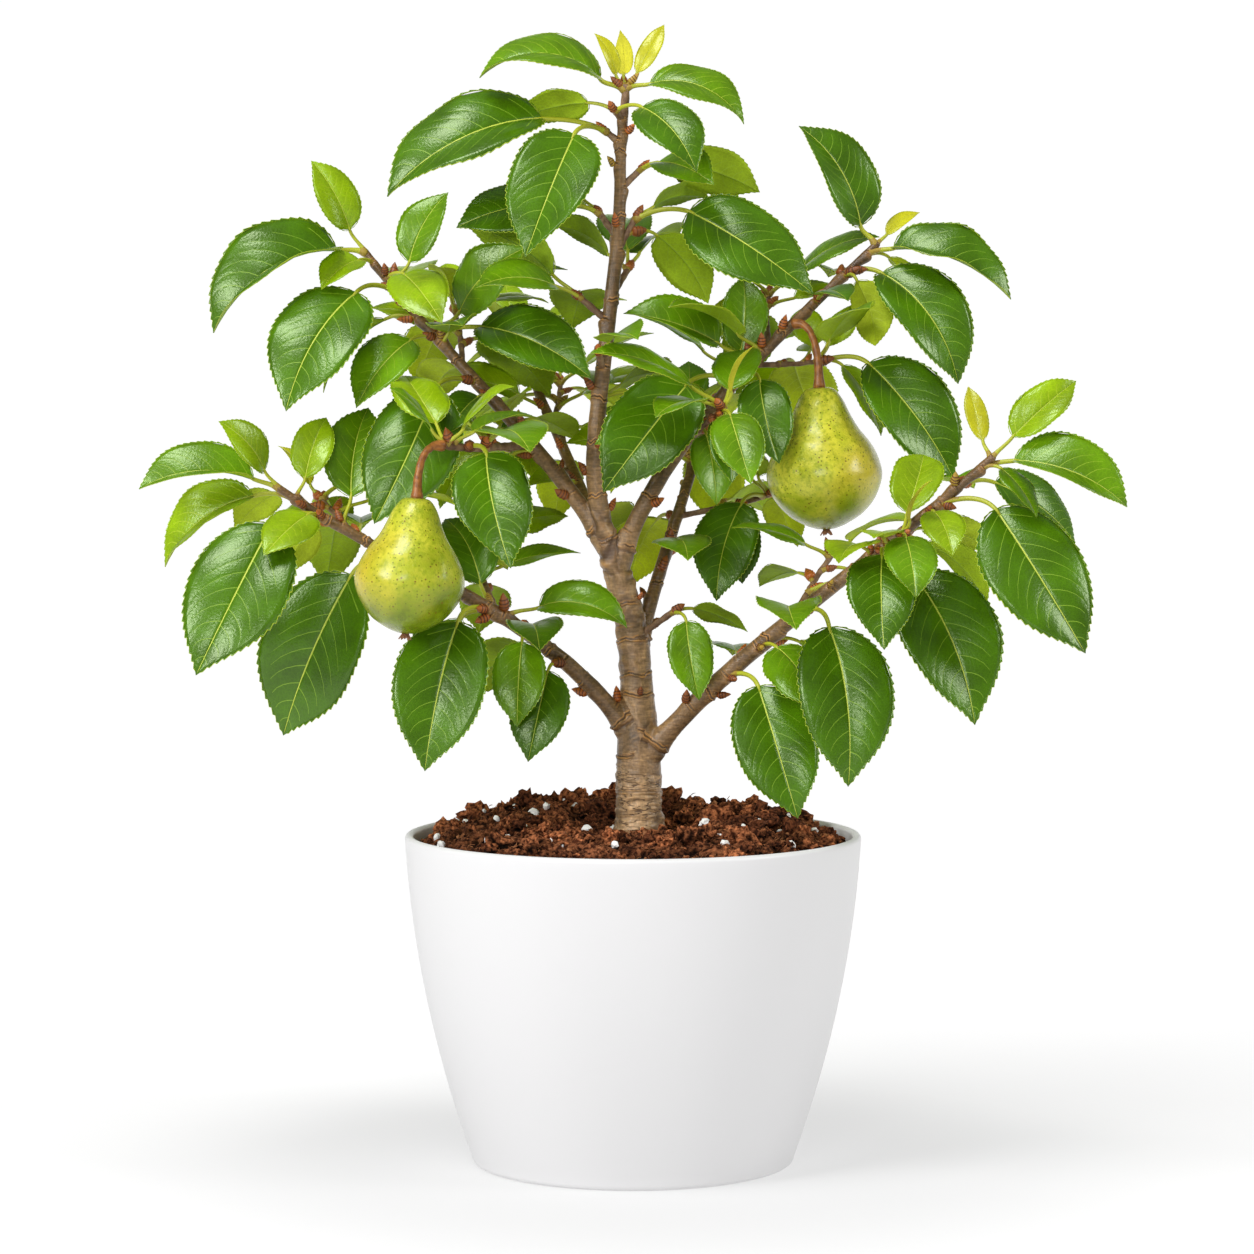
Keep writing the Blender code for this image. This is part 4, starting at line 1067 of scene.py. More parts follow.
layers = {title: skin.verts.layers.float.new(title) for title in ("scar", "crack", "age", "shade", "split", "line", "weight")}
skin.normal_update()
moves = []
for vertex in skin.verts:
    _, index, _ = middles.find(vertex.co)
    middle, radius, ahead, along, number = samples[index]
    along += (vertex.co - middle).dot(ahead)
    turn = round_turn(ahead, vertex.co - middle)
    relief, split, shade = bark_grain(along, turn, number, radius, vertex.co.z - POT_HEIGHT)
    high, scar, weight, line = marks_at(number, along, turn, radius)
    ridge, worn, crack = crotch_at(vertex.co, number)
    moves.append(vertex.co + vertex.normal * (relief + high + ridge))
    age = min(0.9, max(0.0, (radius - 0.003) / 0.013))
    values = (min(1.0, scar + worn), min(1.0, crack), age, shade, split, line * 1000, min(1.0, weight))
    for layer, value in zip(layers.values(), values):
        vertex[layer] = value
for vertex, place in zip(skin.verts, moves):
    vertex.co = place
flat_foot = POT_HEIGHT - 0.002
bmesh.ops.bisect_plane(skin, geom=skin.verts[:] + skin.edges[:] + skin.faces[:], plane_co=(0, 0, flat_foot),
                       plane_no=(0, 0, -1), clear_outer=True)
bmesh.ops.contextual_create(skin, geom=[e for e in skin.edges if e.is_boundary])
print("bark faces", len(skin.faces), "buds", len(buds))


def spread(nodes, links, value, low, high, start=0.0, end=1.0):
    """A value between two limits, spread smoothly from a start to an end."""
    ramp = nodes.new("ShaderNodeMapRange")
    ramp.interpolation_type = "SMOOTHSTEP"
    for socket, number in (("From Min", low), ("From Max", high), ("To Min", start), ("To Max", end)):
        ramp.inputs[socket].default_value = number
    links.new(value, ramp.inputs["Value"])
    return ramp.outputs["Result"]


def worked(nodes, links, operation, first, second):
    """Socket of a sum, product or other operation on two values or sockets."""
    node = nodes.new("ShaderNodeMath")
    node.operation = operation
    for socket, value in zip(node.inputs, (first, second)):
        if isinstance(value, bpy.types.NodeSocket):
            links.new(value, socket)
        else:
            socket.default_value = value
    return node.outputs["Value"]


def near_value(nodes, links, value, centre, half, edge):
    """1 where a value lies within half of a centre, gone over a further edge."""
    away = worked(nodes, links, "ABSOLUTE", worked(nodes, links, "SUBTRACT", value, centre), 0.0)
    return spread(nodes, links, away, half, half + edge, 1.0, 0.0)


def stretched_noise(nodes, links, scale, detail):
    """Noise with its own scale along X, Y and Z."""
    coordinates = nodes.new("ShaderNodeTexCoord")
    stretch = nodes.new("ShaderNodeMapping")
    stretch.inputs["Scale"].default_value = scale
    links.new(coordinates.outputs["Object"], stretch.inputs["Vector"])
    cloud = nodes.new("ShaderNodeTexNoise")
    cloud.inputs["Scale"].default_value = 1.0
    cloud.inputs["Detail"].default_value = detail
    links.new(stretch.outputs["Vector"], cloud.inputs["Vector"])
    return cloud.outputs["Fac"]


bark, shader, nodes, links = plain_shader("young pear bark", (0.30, 0.2, 0.13), 0.38)
grain = stretched_noise(nodes, links, (700, 700, 420), 5.0)
creases = stretched_noise(nodes, links, (150, 150, 900), 3.0)
folds = stretched_noise(nodes, links, (70, 70, 330), 2.5)
line, weight = attribute(nodes, "line"), attribute(nodes, "weight")
pale_lip = worked(nodes, links, "MULTIPLY", weight, near_value(nodes, links, line, 0.0, 0.40, 0.30))
dark_lip = worked(nodes, links, "MULTIPLY", weight, near_value(nodes, links, line, 1.0, 0.30, 0.30))
upper_lip = worked(nodes, links, "MULTIPLY", weight, near_value(nodes, links, line, 2.0, 0.20, 0.4))
lower_lip = worked(nodes, links, "MULTIPLY", weight, near_value(nodes, links, line, -0.85, 0.10, 0.3))
broken = spread(nodes, links, stretched_noise(nodes, links, (180, 180, 180), 1.0), 0.30, 0.52)
ridge = worked(nodes, links, "MULTIPLY", weight, near_value(nodes, links, line, 0.1, 0.05, 1.0))
crevice = worked(nodes, links, "MULTIPLY", attribute(nodes, "split"), near_value(nodes, links, folds, 0.5, 0.003, 0.026))
crevice = worked(nodes, links, "MAXIMUM", crevice, attribute(nodes, "crack"))
crevice = worked(nodes, links, "MAXIMUM", crevice, worked(nodes, links, "MULTIPLY", dark_lip, 0.85))
crevice = worked(nodes, links, "MAXIMUM", crevice, worked(nodes, links, "MULTIPLY", lower_lip, 0.5))
worn = worked(nodes, links, "MULTIPLY", worked(nodes, links, "MAXIMUM", pale_lip, upper_lip), broken)
worn = worked(nodes, links, "MAXIMUM", worn, attribute(nodes, "scar"))
colour = blend_nodes(nodes, links, (0.165, 0.088, 0.031, 1), (0.54, 0.34, 0.175, 1), attribute(nodes, "age"))
colour = blend_nodes(nodes, links, colour, attribute(nodes, "shade"), 1.0, "MULTIPLY")
colour = blend_nodes(nodes, links, colour, spread(nodes, links, grain, 0.32, 0.68, 0.84, 1.16), 1.0, "MULTIPLY")
colour = blend_nodes(nodes, links, colour, spread(nodes, links, creases, 0.36, 0.64, 0.80, 1.14), 1.0, "MULTIPLY")
colour = blend_nodes(nodes, links, colour, (0.56, 0.27, 0.075, 1), worked(nodes, links, "MULTIPLY", worn, 0.85))
colour = blend_nodes(nodes, links, colour, (0.075, 0.036, 0.018, 1), worked(nodes, links, "MULTIPLY", crevice, 0.85))
links.new(colour, shader.inputs["Base Color"])
height = worked(nodes, links, "SUBTRACT", worked(nodes, links, "ADD", grain, creases), crevice)
height = worked(nodes, links, "ADD", height, worked(nodes, links, "MULTIPLY", ridge, 1.6))
bump = nodes.new("ShaderNodeBump")
bump.inputs["Strength"].default_value = 0.8
bump.inputs["Distance"].default_value = 0.0004
links.new(height, bump.inputs["Height"])
links.new(bump.outputs["Normal"], shader.inputs["Normal"])
shader.inputs["Specular IOR Level"].default_value = 0.6

bough_nodes = ["bough_" + name for name in BOUGHS]
mass_nodes = sorted(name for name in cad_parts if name.startswith("foliage_"))
finish_piece("trunk_and_boughs", skin, [bark], ["trunk"] + bough_nodes + mass_nodes)

# Side twigs and spurs: this and last year's wood, thin and brown, each leaving its limb at a node and
# ringed with the scars of old leaves.
twig_rows = []
for mass in masses:
    limbs = mass.twigs if mass.name in BOUGHS else [mass.stem] + mass.twigs
    for limb in limbs:
        steps = max(8, int(limb.length() / 0.0016))
        row = []
        for step in range(steps + 1):
            share = step / steps
            point, _, radius = limb.at(share)
            ring = bell((share * limb.length() % 0.0085) - 0.004, 0.0011)
            if mass.name.startswith("spur"):
                ring = 0.5 + 0.5 * math.sin(share * limb.length() / 0.0022 * math.tau)
            row.append((point, radius * (1 + 0.13 * ring)))
        twig_rows.append(row)
        if mass.name != "top" and not (mass.pear and limb is mass.twigs[0]):
            end, ahead, radius = limb.at(1.0)
            buds.append((end - ahead * 0.001, ahead, rng.uniform(0.0075, 0.0095)))
twig_skin = tubes(twig_rows, 4)
twig_skin.normal_update()
for vertex in twig_skin.verts:
    vertex.co += vertex.normal * (noise.noise(vertex.co * 220) * 0.0003 + noise.noise(vertex.co * 700) * 0.0001)
twig_bark, shader, nodes, links = plain_shader("twig bark", (0.17, 0.08, 0.045), 0.55)
coordinates = nodes.new("ShaderNodeTexCoord")
blotches = nodes.new("ShaderNodeTexNoise")
blotches.inputs["Scale"].default_value = 260.0
ramp = nodes.new("ShaderNodeValToRGB")
ramp.color_ramp.elements[0].position = 0.35
ramp.color_ramp.elements[0].color = (0.14, 0.07, 0.035, 1)
ramp.color_ramp.elements[1].position = 0.68
ramp.color_ramp.elements[1].color = (0.30, 0.18, 0.095, 1)
links.new(coordinates.outputs["Object"], blotches.inputs["Vector"])
links.new(blotches.outputs["Fac"], ramp.inputs["Fac"])
links.new(ramp.outputs["Color"], shader.inputs["Base Color"])
finish_piece("twigs_and_spurs", twig_skin, [twig_bark], mass_nodes)

# Buds: pointed winter buds of overlapping brown scales, one above each leaf's foot and at old nodes,
# and bigger ones at the ends of twigs and spurs.
BUD_PROFILE = (
    (0.0, 0.70), (0.10, 1.0), (0.21, 1.12), (0.27, 0.96), (0.40, 1.08), (0.46, 0.90), (0.60, 0.88),
    (0.66, 0.70), (0.80, 0.50), (0.92, 0.22), (1.0, 0.03),
)
BUD_SIDES = 8
BUD_WIDTH = 0.28
bud_mesh = bmesh.new()
for place, ahead, length in buds:
    side = ahead.orthogonal().normalized()
    other = ahead.cross(side)
    spin, bend = rng.uniform(0, math.tau), rng.uniform(-0.1, 0.1)
    kind = rng.choice((0, 0, 1, 1, 2))
    width = length * BUD_WIDTH * rng.uniform(0.85, 1.15)
    loops = []
    for t, r in BUD_PROFILE:
        middle = place + ahead * (t * length) + side * (bend * length * t * t)
        loop = []
        for step in range(BUD_SIDES):
            turn = spin + math.tau * step / BUD_SIDES
            scale = 1 + 0.10 * math.sin(3 * turn + 7 * t)
            loop.append(bud_mesh.verts.new(
                middle + (side * math.cos(turn) + other * math.sin(turn)) * (width * r * scale)
            ))
        loops.append(loop)
    for level, (low, high) in enumerate(zip(loops, loops[1:])):
        for step in range(BUD_SIDES):
            after = (step + 1) % BUD_SIDES
            face = bud_mesh.faces.new((low[step], low[after], high[after], high[step]))
            tips = level in (2, 4, 6)
            face.material_index = 3 if tips else kind
    bud_mesh.faces.new(reversed(loops[0]))
    bud_mesh.faces.new(loops[-1]).material_index = 3
bmesh.ops.recalc_face_normals(bud_mesh, faces=bud_mesh.faces)
bud_finishes = [
    plain_shader("russet bud scales", (0.46, 0.125, 0.018), 0.42)[0],
    plain_shader("brown bud scales", (0.29, 0.082, 0.014), 0.42)[0],
    plain_shader("olive bud scales", (0.42, 0.26, 0.03), 0.45)[0],
    plain_shader("dark scale edges", (0.11, 0.032, 0.008), 0.6)[0],
]
finish_piece("buds", bud_mesh, bud_finishes, ["trunk"] + bough_nodes + mass_nodes)

# Leaves: pear foliage, glossy dark green on top and pale below, with a yellow midrib, swept veins,
# quilted between them, and a fine yellow saw edge. Young ones at the tips are lighter and yellower.
BLADE_OUTLINE = (
    (0.0, 0.0), (0.015, 0.20), (0.05, 0.41), (0.11, 0.635), (0.19, 0.83), (0.28, 0.95), (0.38, 1.0),
    (0.49, 0.995), (0.60, 0.93), (0.70, 0.79), (0.79, 0.585), (0.86, 0.375), (0.91, 0.22),
    (0.95, 0.115), (0.98, 0.05), (1.0, 0.0),
)
VEIN_HALF = 0.0029     # half of a vein's width along the midrib, as a share of the blade's length
MARGIN_WIDTH = 0.0050
YELLOW_WIDTH = 0.0030   # the outer part of the margin, which is yellow
TOOTH = 0.0120
TOOTH_LEAN = 0.016
BLADE_THICK = 0.0042
TOP, VEIN, MIDRIB, MARGIN, UNDER, UNDER_VEIN = range(6)
FINISHES = 6
DARK, MID, LIGHT, PAINTED_BACKLIGHT, YOUNG = range(5)


def half_width(along):
    return smooth_row(BLADE_OUTLINE, min(1.0, max(0.0, along)))[0] * LEAF_WIDTH * 0.48


def vein_sweep(foot, t):
    """How far along the blade a vein has run, from its foot on the midrib to a share t of the half."""
    reach = (1 - foot) * (1 - math.exp(-foot / 0.12))
    return foot + (0.25 * t + 0.33 * t * t) * reach


def saw_edge(blade, teeth):
    """The blade's yellow margin on each side: a narrow band with teeth that point forward."""
    fine = [(i / 300, half_width(i / 300)) for i in range(301)]
    lengths = [0.0]
    for (x, y), (next_x, next_y) in zip(fine, fine[1:]):
        lengths.append(lengths[-1] + math.hypot(next_x - x, next_y - y))
    points, index = [], 0
    for step in range(2 * teeth + 1):
        wanted = lengths[-1] * step / (2 * teeth)
        while index < 299 and lengths[index + 1] < wanted:
            index += 1
        points.append((fine[index], fine[min(index + 1, 300)]))
    bands = []
    for side in (1, -1):
        rows = []
        for step, ((x, y), (next_x, next_y)) in enumerate(points):
            ahead = Vector((next_x - x, next_y - y, 0)).normalized()
            out = Vector((-ahead.y, ahead.x, 0))
            size = min(1.0, step / 7, (2 * teeth - step) / 3)
            bite = TOOTH * size if step % 2 == 0 else 0.0
            lean = TOOTH_LEAN * size if step % 2 == 0 else 0.0
            width = min(MARGIN_WIDTH, 0.8 * y)
            inner = Vector((x, y, 0)) - out * width
            outer = Vector((x, y, 0)) + out * bite + ahead * lean
            edge = outer.lerp(inner, min(0.6, YELLOW_WIDTH / max(0.0001, (outer - inner).length)))
            rows.append([blade.verts.new((v.x, v.y * side, 0.0009)) for v in (inner, edge, outer)])
        for low, high in zip(rows, rows[1:]):
            for band in (0, 1):
                corners = (low[band], low[band + 1], high[band + 1], high[band])
                face = blade.faces.new(corners)
                face.material_index = MARGIN if band else TOP
                bands.append(face)
    return bands


def flat_blade(feet, columns, between, teeth, seed):
    """One flat blade of length 1 along X, with veins, quilting and teeth, as a thin closed mesh."""
    rng = random.Random(seed)
    rows = [0.0]
    for number, foot in enumerate(feet):
        start = rows[-1]
        count = between + 2 if not number else between
        for step in range(1, count):
            rows.append(start + (foot - VEIN_HALF - start) * step / count)
        rows += [foot - VEIN_HALF, foot + VEIN_HALF]
    start = rows[-1]
    rows += [start + (1 - start) * step / (between + 1) for step in range(1, between + 2)]
    vein_rows = {min(range(len(rows)), key=lambda i: abs(rows[i] - foot + VEIN_HALF)) for foot in feet}
    last = len(columns) - 1
    blade = bmesh.new()
    bmesh.ops.create_grid(blade, x_segments=len(rows) - 1, y_segments=2 * last + 2, size=1.0)
    place = {}
    for vertex in blade.verts:
        row = round((vertex.co.x + 1) / 2 * (len(rows) - 1))
        column = round((vertex.co.y + 1) / 2 * (2 * last + 2)) - last - 1
        place[vertex] = (row, column)
    vein_edges = {}
    for foot in feet:
        for edge in (foot - VEIN_HALF, foot + VEIN_HALF):
            vein_edges[min(range(len(rows)), key=lambda i: abs(rows[i] - edge))] = foot
    stagger = {side: rng.uniform(-0.004, 0.004) + 0.012 * side for side in (-1, 1)}
    for vertex, (row, column) in place.items():
        side = (column > 0) - (column < 0)
        t = columns[abs(column) - 1] if column else 0.0
        foot = rows[row]
        if row in vein_edges:
            foot += (vein_edges[row] - foot) * 0.45 * t
        shift = stagger.get(side, 0.0) * math.sin(math.pi * foot)
        along = vein_sweep(foot + shift, t) if column else foot
        half = half_width(along)
        midrib = min(0.9 * half, 0.0046 * (1 - along) ** 0.8 + 0.0013)
        across = midrib + (half - midrib) * t if column else 0.0
        near = min(abs(foot - f) for f in feet)
        bulge = min(1.0, near / 0.045) ** 0.65
        quilt = 0.0052 * bulge * math.sin(math.pi * min(1.0, 0.05 + 0.95 * t)) ** 0.7
        groove = -0.0045 * (1 - along) ** 0.5 if not column else 0.0
        vertex.co = (along, side * across, quilt + groove)
    for face in blade.faces:
        spots = [place[v] for v in face.verts]
        row = min(r for r, _ in spots)
        high = max(abs(c) for _, c in spots)
        face.material_index = TOP
        if high == 1:
            face.material_index = MIDRIB
        elif row in vein_rows and high < last:
            face.material_index = VEIN
    bmesh.ops.remove_doubles(blade, verts=blade.verts, dist=0.0003)
    saw_edge(blade, teeth)
    for face in blade.faces:
        face.normal_update()
        if face.normal.z < 0:
            face.normal_flip()
    sheet = bmesh.ops.extrude_face_region(blade, geom=blade.faces[:], use_keep_orig=True)["geom"]
    lower = {item for item in sheet if isinstance(item, bmesh.types.BMVert)}
    for vertex in lower:
        rib = 0.006 * (1 - vertex.co.x) ** 0.7 if abs(vertex.co.y) < 0.0004 else 0.0
        vertex.co.z -= BLADE_THICK + rib + (0.0018 if vertex.co.z == 0.0009 else 0.0)
    below = {TOP: UNDER, VEIN: UNDER_VEIN, MIDRIB: UNDER_VEIN, MARGIN: MARGIN}
    for item in blade.faces:
        if all(vertex in lower for vertex in item.verts):
            item.material_index = below[item.material_index]
        elif any(vertex in lower for vertex in item.verts):
            item.material_index = MARGIN
    bmesh.ops.recalc_face_normals(blade, faces=blade.faces)
    mesh = bpy.data.meshes.new("flat blade")
    blade.to_mesh(mesh)
    blade.free()
    return mesh


def hang_blade(leaf, x, y, z):
    """Where a point of the flat blade lies on a leaf: arched, folded, curled, waved and twisted."""
    length = leaf.length
    middle, normal = leaf.blade_point(x), leaf.normal(x)
    fold = leaf.crease
    twist = math.radians(leaf.twist) * (x - 0.25)
    out = abs(y)
    lift = out * math.sin(fold) - leaf.curl * out * out
    phase = leaf.phase + (1.3 if y > 0 else 0.0)
    lift += leaf.wave * math.sin(leaf.ripples * x * math.tau + phase) * (out / 0.29) ** 2
    across = y * math.cos(fold)
    sag = leaf.droop * x * x * x
    turned = across * math.cos(twist) - lift * math.sin(twist) + leaf.bow * x * (1 - x)
    raised = across * math.sin(twist) + lift * math.cos(twist)
    return middle + (leaf.side * turned + normal * (raised + z - sag)) * length


large_blade = flat_blade(
    [0.05 + 0.105 * i for i in range(9)], (0.0, 0.07, 0.2, 0.36, 0.53, 0.70, 0.86, 1.0), 2, 25, 1
)
small_blade = flat_blade(
    [0.06 + 0.125 * i for i in range(7)], (0.0, 0.1, 0.3, 0.55, 0.82, 1.0), 2, 19, 2
)
print("blade faces", len(large_blade.polygons), len(small_blade.polygons))
# Colours of each leaf tone: top, vein, underside. Back is a paler, yellower copy, painted light shining through
# leaves at the back; mid and light also serve as lighter copies for leaves that face up.
TONES = {
    "dark": ((0.056, 0.145, 0.0012), (0.20, 0.35, 0.016), (0.27, 0.40, 0.02)),
    "mid": ((0.110, 0.240, 0.002), (0.30, 0.45, 0.020), (0.34, 0.48, 0.02)),
    "light": ((0.235, 0.375, 0.003), (0.45, 0.56, 0.022), (0.45, 0.56, 0.025)),
    "back": ((0.265, 0.400, 0.002), (0.44, 0.55, 0.012), (0.44, 0.55, 0.012)),
    "young": ((0.44, 0.43, 0.010), (0.54, 0.50, 0.035), (0.52, 0.49, 0.030)),
}


def leaf_finish(name, colour, roughness, shine):
    """Waxy leaf surface with a faint mottle and a net of tiny veins."""
    material, shader, nodes, links = plain_shader(name, colour, roughness)
    coordinates = nodes.new("ShaderNodeTexCoord")
    mottle = nodes.new("ShaderNodeTexNoise")
    mottle.inputs["Scale"].default_value = 42.0
    mottle.inputs["Detail"].default_value = 4.0
    links.new(coordinates.outputs["Object"], mottle.inputs["Vector"])
    shade = nodes.new("ShaderNodeMapRange")
    shade.inputs["From Min"].default_value = 0.3
    shade.inputs["From Max"].default_value = 0.7
    shade.inputs["To Min"].default_value = 0.70
    shade.inputs["To Max"].default_value = 1.32
    links.new(mottle.outputs["Fac"], shade.inputs["Value"])
    tint = nodes.new("ShaderNodeMix")
    tint.data_type = "RGBA"
    tint.blend_type = "MULTIPLY"
    tint.inputs["Factor"].default_value = 1.0
    tint.inputs["A"].default_value = (*colour, 1)
    links.new(shade.outputs["Result"], tint.inputs["B"])
    net = nodes.new("ShaderNodeTexVoronoi")
    net.feature = "DISTANCE_TO_EDGE"
    net.inputs["Scale"].default_value = 420.0
    links.new(coordinates.outputs["Object"], net.inputs["Vector"])
    paler = spread(nodes, links, net.outputs["Distance"], 0.02, 0.12, 1.12, 0.98)
    links.new(
        blend_nodes(nodes, links, tint.outputs["Result"], paler, 1.0, "MULTIPLY"), shader.inputs["Base Color"]
    )
    bump = nodes.new("ShaderNodeBump")
    bump.inputs["Strength"].default_value = 0.34
    bump.inputs["Distance"].default_value = 0.0004
    links.new(net.outputs["Distance"], bump.inputs["Height"])
    links.new(bump.outputs["Normal"], shader.inputs["Normal"])
    shader.inputs["Specular IOR Level"].default_value = shine
    shader.inputs["Specular Tint"].default_value = (0.86, 1.0, 0.66, 1)
    return material


midrib_colour = (0.52, 0.60, 0.07)
margin_colour = (0.42, 0.52, 0.02)
leaf_materials = []
for tone, (top, vein, under) in TONES.items():
    leaf_materials.append(leaf_finish(tone + " leaf top", top, 0.28, 0.62))
    leaf_materials.append(plain_shader(tone + " leaf vein", vein, 0.45)[0])
    leaf_materials.append(plain_shader(tone + " leaf midrib", midrib_colour, 0.45)[0])
    leaf_materials.append(plain_shader(tone + " leaf margin", margin_colour, 0.5)[0])
    leaf_materials.append(leaf_finish(tone + " leaf underside", under, 0.6, 0.15))
    leaf_materials.append(plain_shader(tone + " underside vein", vein, 0.5)[0])

groups = {
    "lower_left_leaves": ("lower_left",), "lower_right_leaves": ("lower_right",),
    "upper_left_leaves": ("upper_left",), "upper_right_leaves": ("upper_right",),
    "rear_leaves": ("rear_left", "rear_right"), "leader_leaves": tuple(SPURS) + ("top",),
}
rng = random.Random(7)
for title, members in groups.items():
    spray = bmesh.new()
    for mass in masses:
        if mass.name not in members:
            continue
        for leaf in mass.leaves:
            size = leaf.length
            tone = DARK if size > 0.062 else MID if size > 0.05 else LIGHT if size > 0.036 else YOUNG
            # Painted light: leaves whose tops face upward step to a lighter tone, as if lit from above.
            if leaf.top.z > 0.74 and tone < LIGHT:
                tone += 1
            if leaf.top.z > 0.9 and tone < LIGHT:
                tone += 1
            # Painted shade: light-toned leaves low in the middle of the crown are made mid-toned.
            base = leaf.petiole[3]
            if tone == LIGHT and math.hypot(base.x, base.y) < 0.115 and base.z < 0.62:
                tone = MID
            if leaf.share > 0.945 and mass.name.startswith(("lower", "top")):
                tone = max(tone, LIGHT)
            # Painted light: most leaves at the back take the back tone, standing in for light through them.
            if base.y > 0.03 and not leaf.shown and rng.random() < 0.6:
                tone = PAINTED_BACKLIGHT
            elif tone in (MID, LIGHT) and rng.random() < 0.3:
                tone -= 1
            leaf.crease = leaf.fold + math.radians(rng.uniform(-5, 9))
            leaf.curl = rng.uniform(0.2, 1.1)
            leaf.wave = rng.uniform(0.006, 0.022)
            leaf.ripples = rng.uniform(1.2, 2.4)
            leaf.phase = rng.uniform(0, math.tau)
            leaf.twist = rng.uniform(-24, 24)
            leaf.droop = rng.uniform(-0.02, 0.05)
            leaf.bow = rng.uniform(-0.20, 0.20)
            before, faces_before = len(spray.verts), len(spray.faces)
            spray.from_mesh(large_blade if size > 0.062 else small_blade)
            spray.verts.ensure_lookup_table()
            spray.faces.ensure_lookup_table()
            narrow = 0.62 if tone == YOUNG else 1.0
            for vertex in spray.verts[before:]:
                vertex.co = hang_blade(leaf, vertex.co.x, vertex.co.y * narrow, vertex.co.z)
            for face in spray.faces[faces_before:]:
                face.material_index += tone * FINISHES
    nodes_of_group = sorted("foliage_" + name for name in members)
    print(title, len(spray.faces), sum(len(face.verts) - 2 for face in spray.faces))
    finish_piece(title, spray, leaf_materials, nodes_of_group)

# Petioles: the yellow-green stalks that carry the leaves, swollen and browner where they grow out of
# the wood beside a bud.
petiole_rows, feet = [], []
for mass in masses:
    for leaf in mass.leaves:
        slim = min(1.08, max(0.78, leaf.length / 0.07))
        root, wood = leaf.petiole_point(0.0), leaf.limb.at(leaf.share)[2]
        row = []
        for step in range(19):
            share = step / 18
            point = leaf.petiole_point(share)
            past = max(0.0, (point - root).length - wood)
            radius = (0.00140 + 0.00095 * math.exp(-past / 0.0024)) * slim
            row.append((point, radius * (1 - 0.12 * share)))
        row.append((leaf.blade_point(0.05), PETIOLE_RADIUS * 0.5 * slim))
        petiole_rows.append(row)
        feet.append((root, wood + 0.0026))
petiole_skin = tubes(petiole_rows, 2)
petiole_feet = KDTree(len(feet))
for index, (root, _) in enumerate(feet):
    petiole_feet.insert(root, index)
petiole_feet.balance()
for face in petiole_skin.faces:
    _, index, away = petiole_feet.find(face.calc_center_median())
    face.material_index = 1 if away < feet[index][1] else 0
petiole_green = plain_shader("petiole green", (0.44, 0.47, 0.025), 0.42)[0]
petiole_foot = plain_shader("petiole foot", (0.36, 0.25, 0.03), 0.5)[0]
finish_piece("petioles", petiole_skin, [petiole_green, petiole_foot], mass_nodes)

# Pears: two ripened fruit, densely freckled with russet dots and blushed on one cheek; their skin is painted yellow
# on the side toward the lamps, painted light, and greener and darker low down, painted shade. Each hangs on a bowed
# woody stalk and has the dried flower in a dimple below.
pear_skin, shader, nodes, links = plain_shader("pear skin", (0.50, 0.55, 0.05), 0.25)


def dots_at(nodes, links, scale, small, large):
    """Round dots, full below one distance from each cell's middle and gone past another."""
    coordinates = nodes.new("ShaderNodeTexCoord")
    cells = nodes.new("ShaderNodeTexVoronoi")
    cells.inputs["Scale"].default_value = scale
    links.new(coordinates.outputs["Object"], cells.inputs["Vector"])
    fade = nodes.new("ShaderNodeMapRange")
    fade.inputs["From Min"].default_value = small
    fade.inputs["From Max"].default_value = large
    fade.inputs["To Min"].default_value = 1.0
    fade.inputs["To Max"].default_value = 0.0
    links.new(cells.outputs["Distance"], fade.inputs["Value"])
    return fade.outputs["Result"]


# Green to yellow by the pear attribute: the skin's own ripeness together with painted light toward the lamps and
# painted shade low down.
colour = blend_nodes(
    nodes, links, (0.145, 0.205, 0.001, 1), (0.69, 0.68, 0.050, 1), attribute(nodes, "ripe")
)
dapple = noise_between(nodes, links, 120, 0.44, 0.62, 2.0)
colour = blend_nodes(nodes, links, colour, (0.30, 0.40, 0.004, 1), worked(nodes, links, "MULTIPLY", dapple, 0.42))
mottle = noise_between(nodes, links, 380, 0.46, 0.66, 3.0)
colour = blend_nodes(nodes, links, colour, (0.22, 0.31, 0.005, 1), worked(nodes, links, "MULTIPLY", mottle, 0.6))
colour = blend_nodes(nodes, links, colour, (0.56, 0.40, 0.022, 1), attribute(nodes, "blush"))
colour = blend_nodes(nodes, links, colour, (0.16, 0.19, 0.003, 1), dots_at(nodes, links, 400, 0.12, 0.25))
colour = blend_nodes(nodes, links, colour, (0.19, 0.125, 0.006, 1), dots_at(nodes, links, 230, 0.08, 0.17))
colour = blend_nodes(nodes, links, colour, (0.14, 0.07, 0.02, 1), attribute(nodes, "dimple"))
links.new(colour, shader.inputs["Base Color"])
bump = nodes.new("ShaderNodeBump")
bump.inputs["Strength"].default_value = 0.5
bump.inputs["Distance"].default_value = 0.0004
links.new(noise_between(nodes, links, 900, 0.3, 0.7, 3.0), bump.inputs["Height"])
links.new(bump.outputs["Normal"], shader.inputs["Normal"])
shader.inputs["Specular IOR Level"].default_value = 0.35
shader.inputs["Specular Tint"].default_value = (1.0, 0.98, 0.5, 1)
shader.inputs["Coat Weight"].default_value = 0.6
shader.inputs["Coat Roughness"].default_value = 0.24

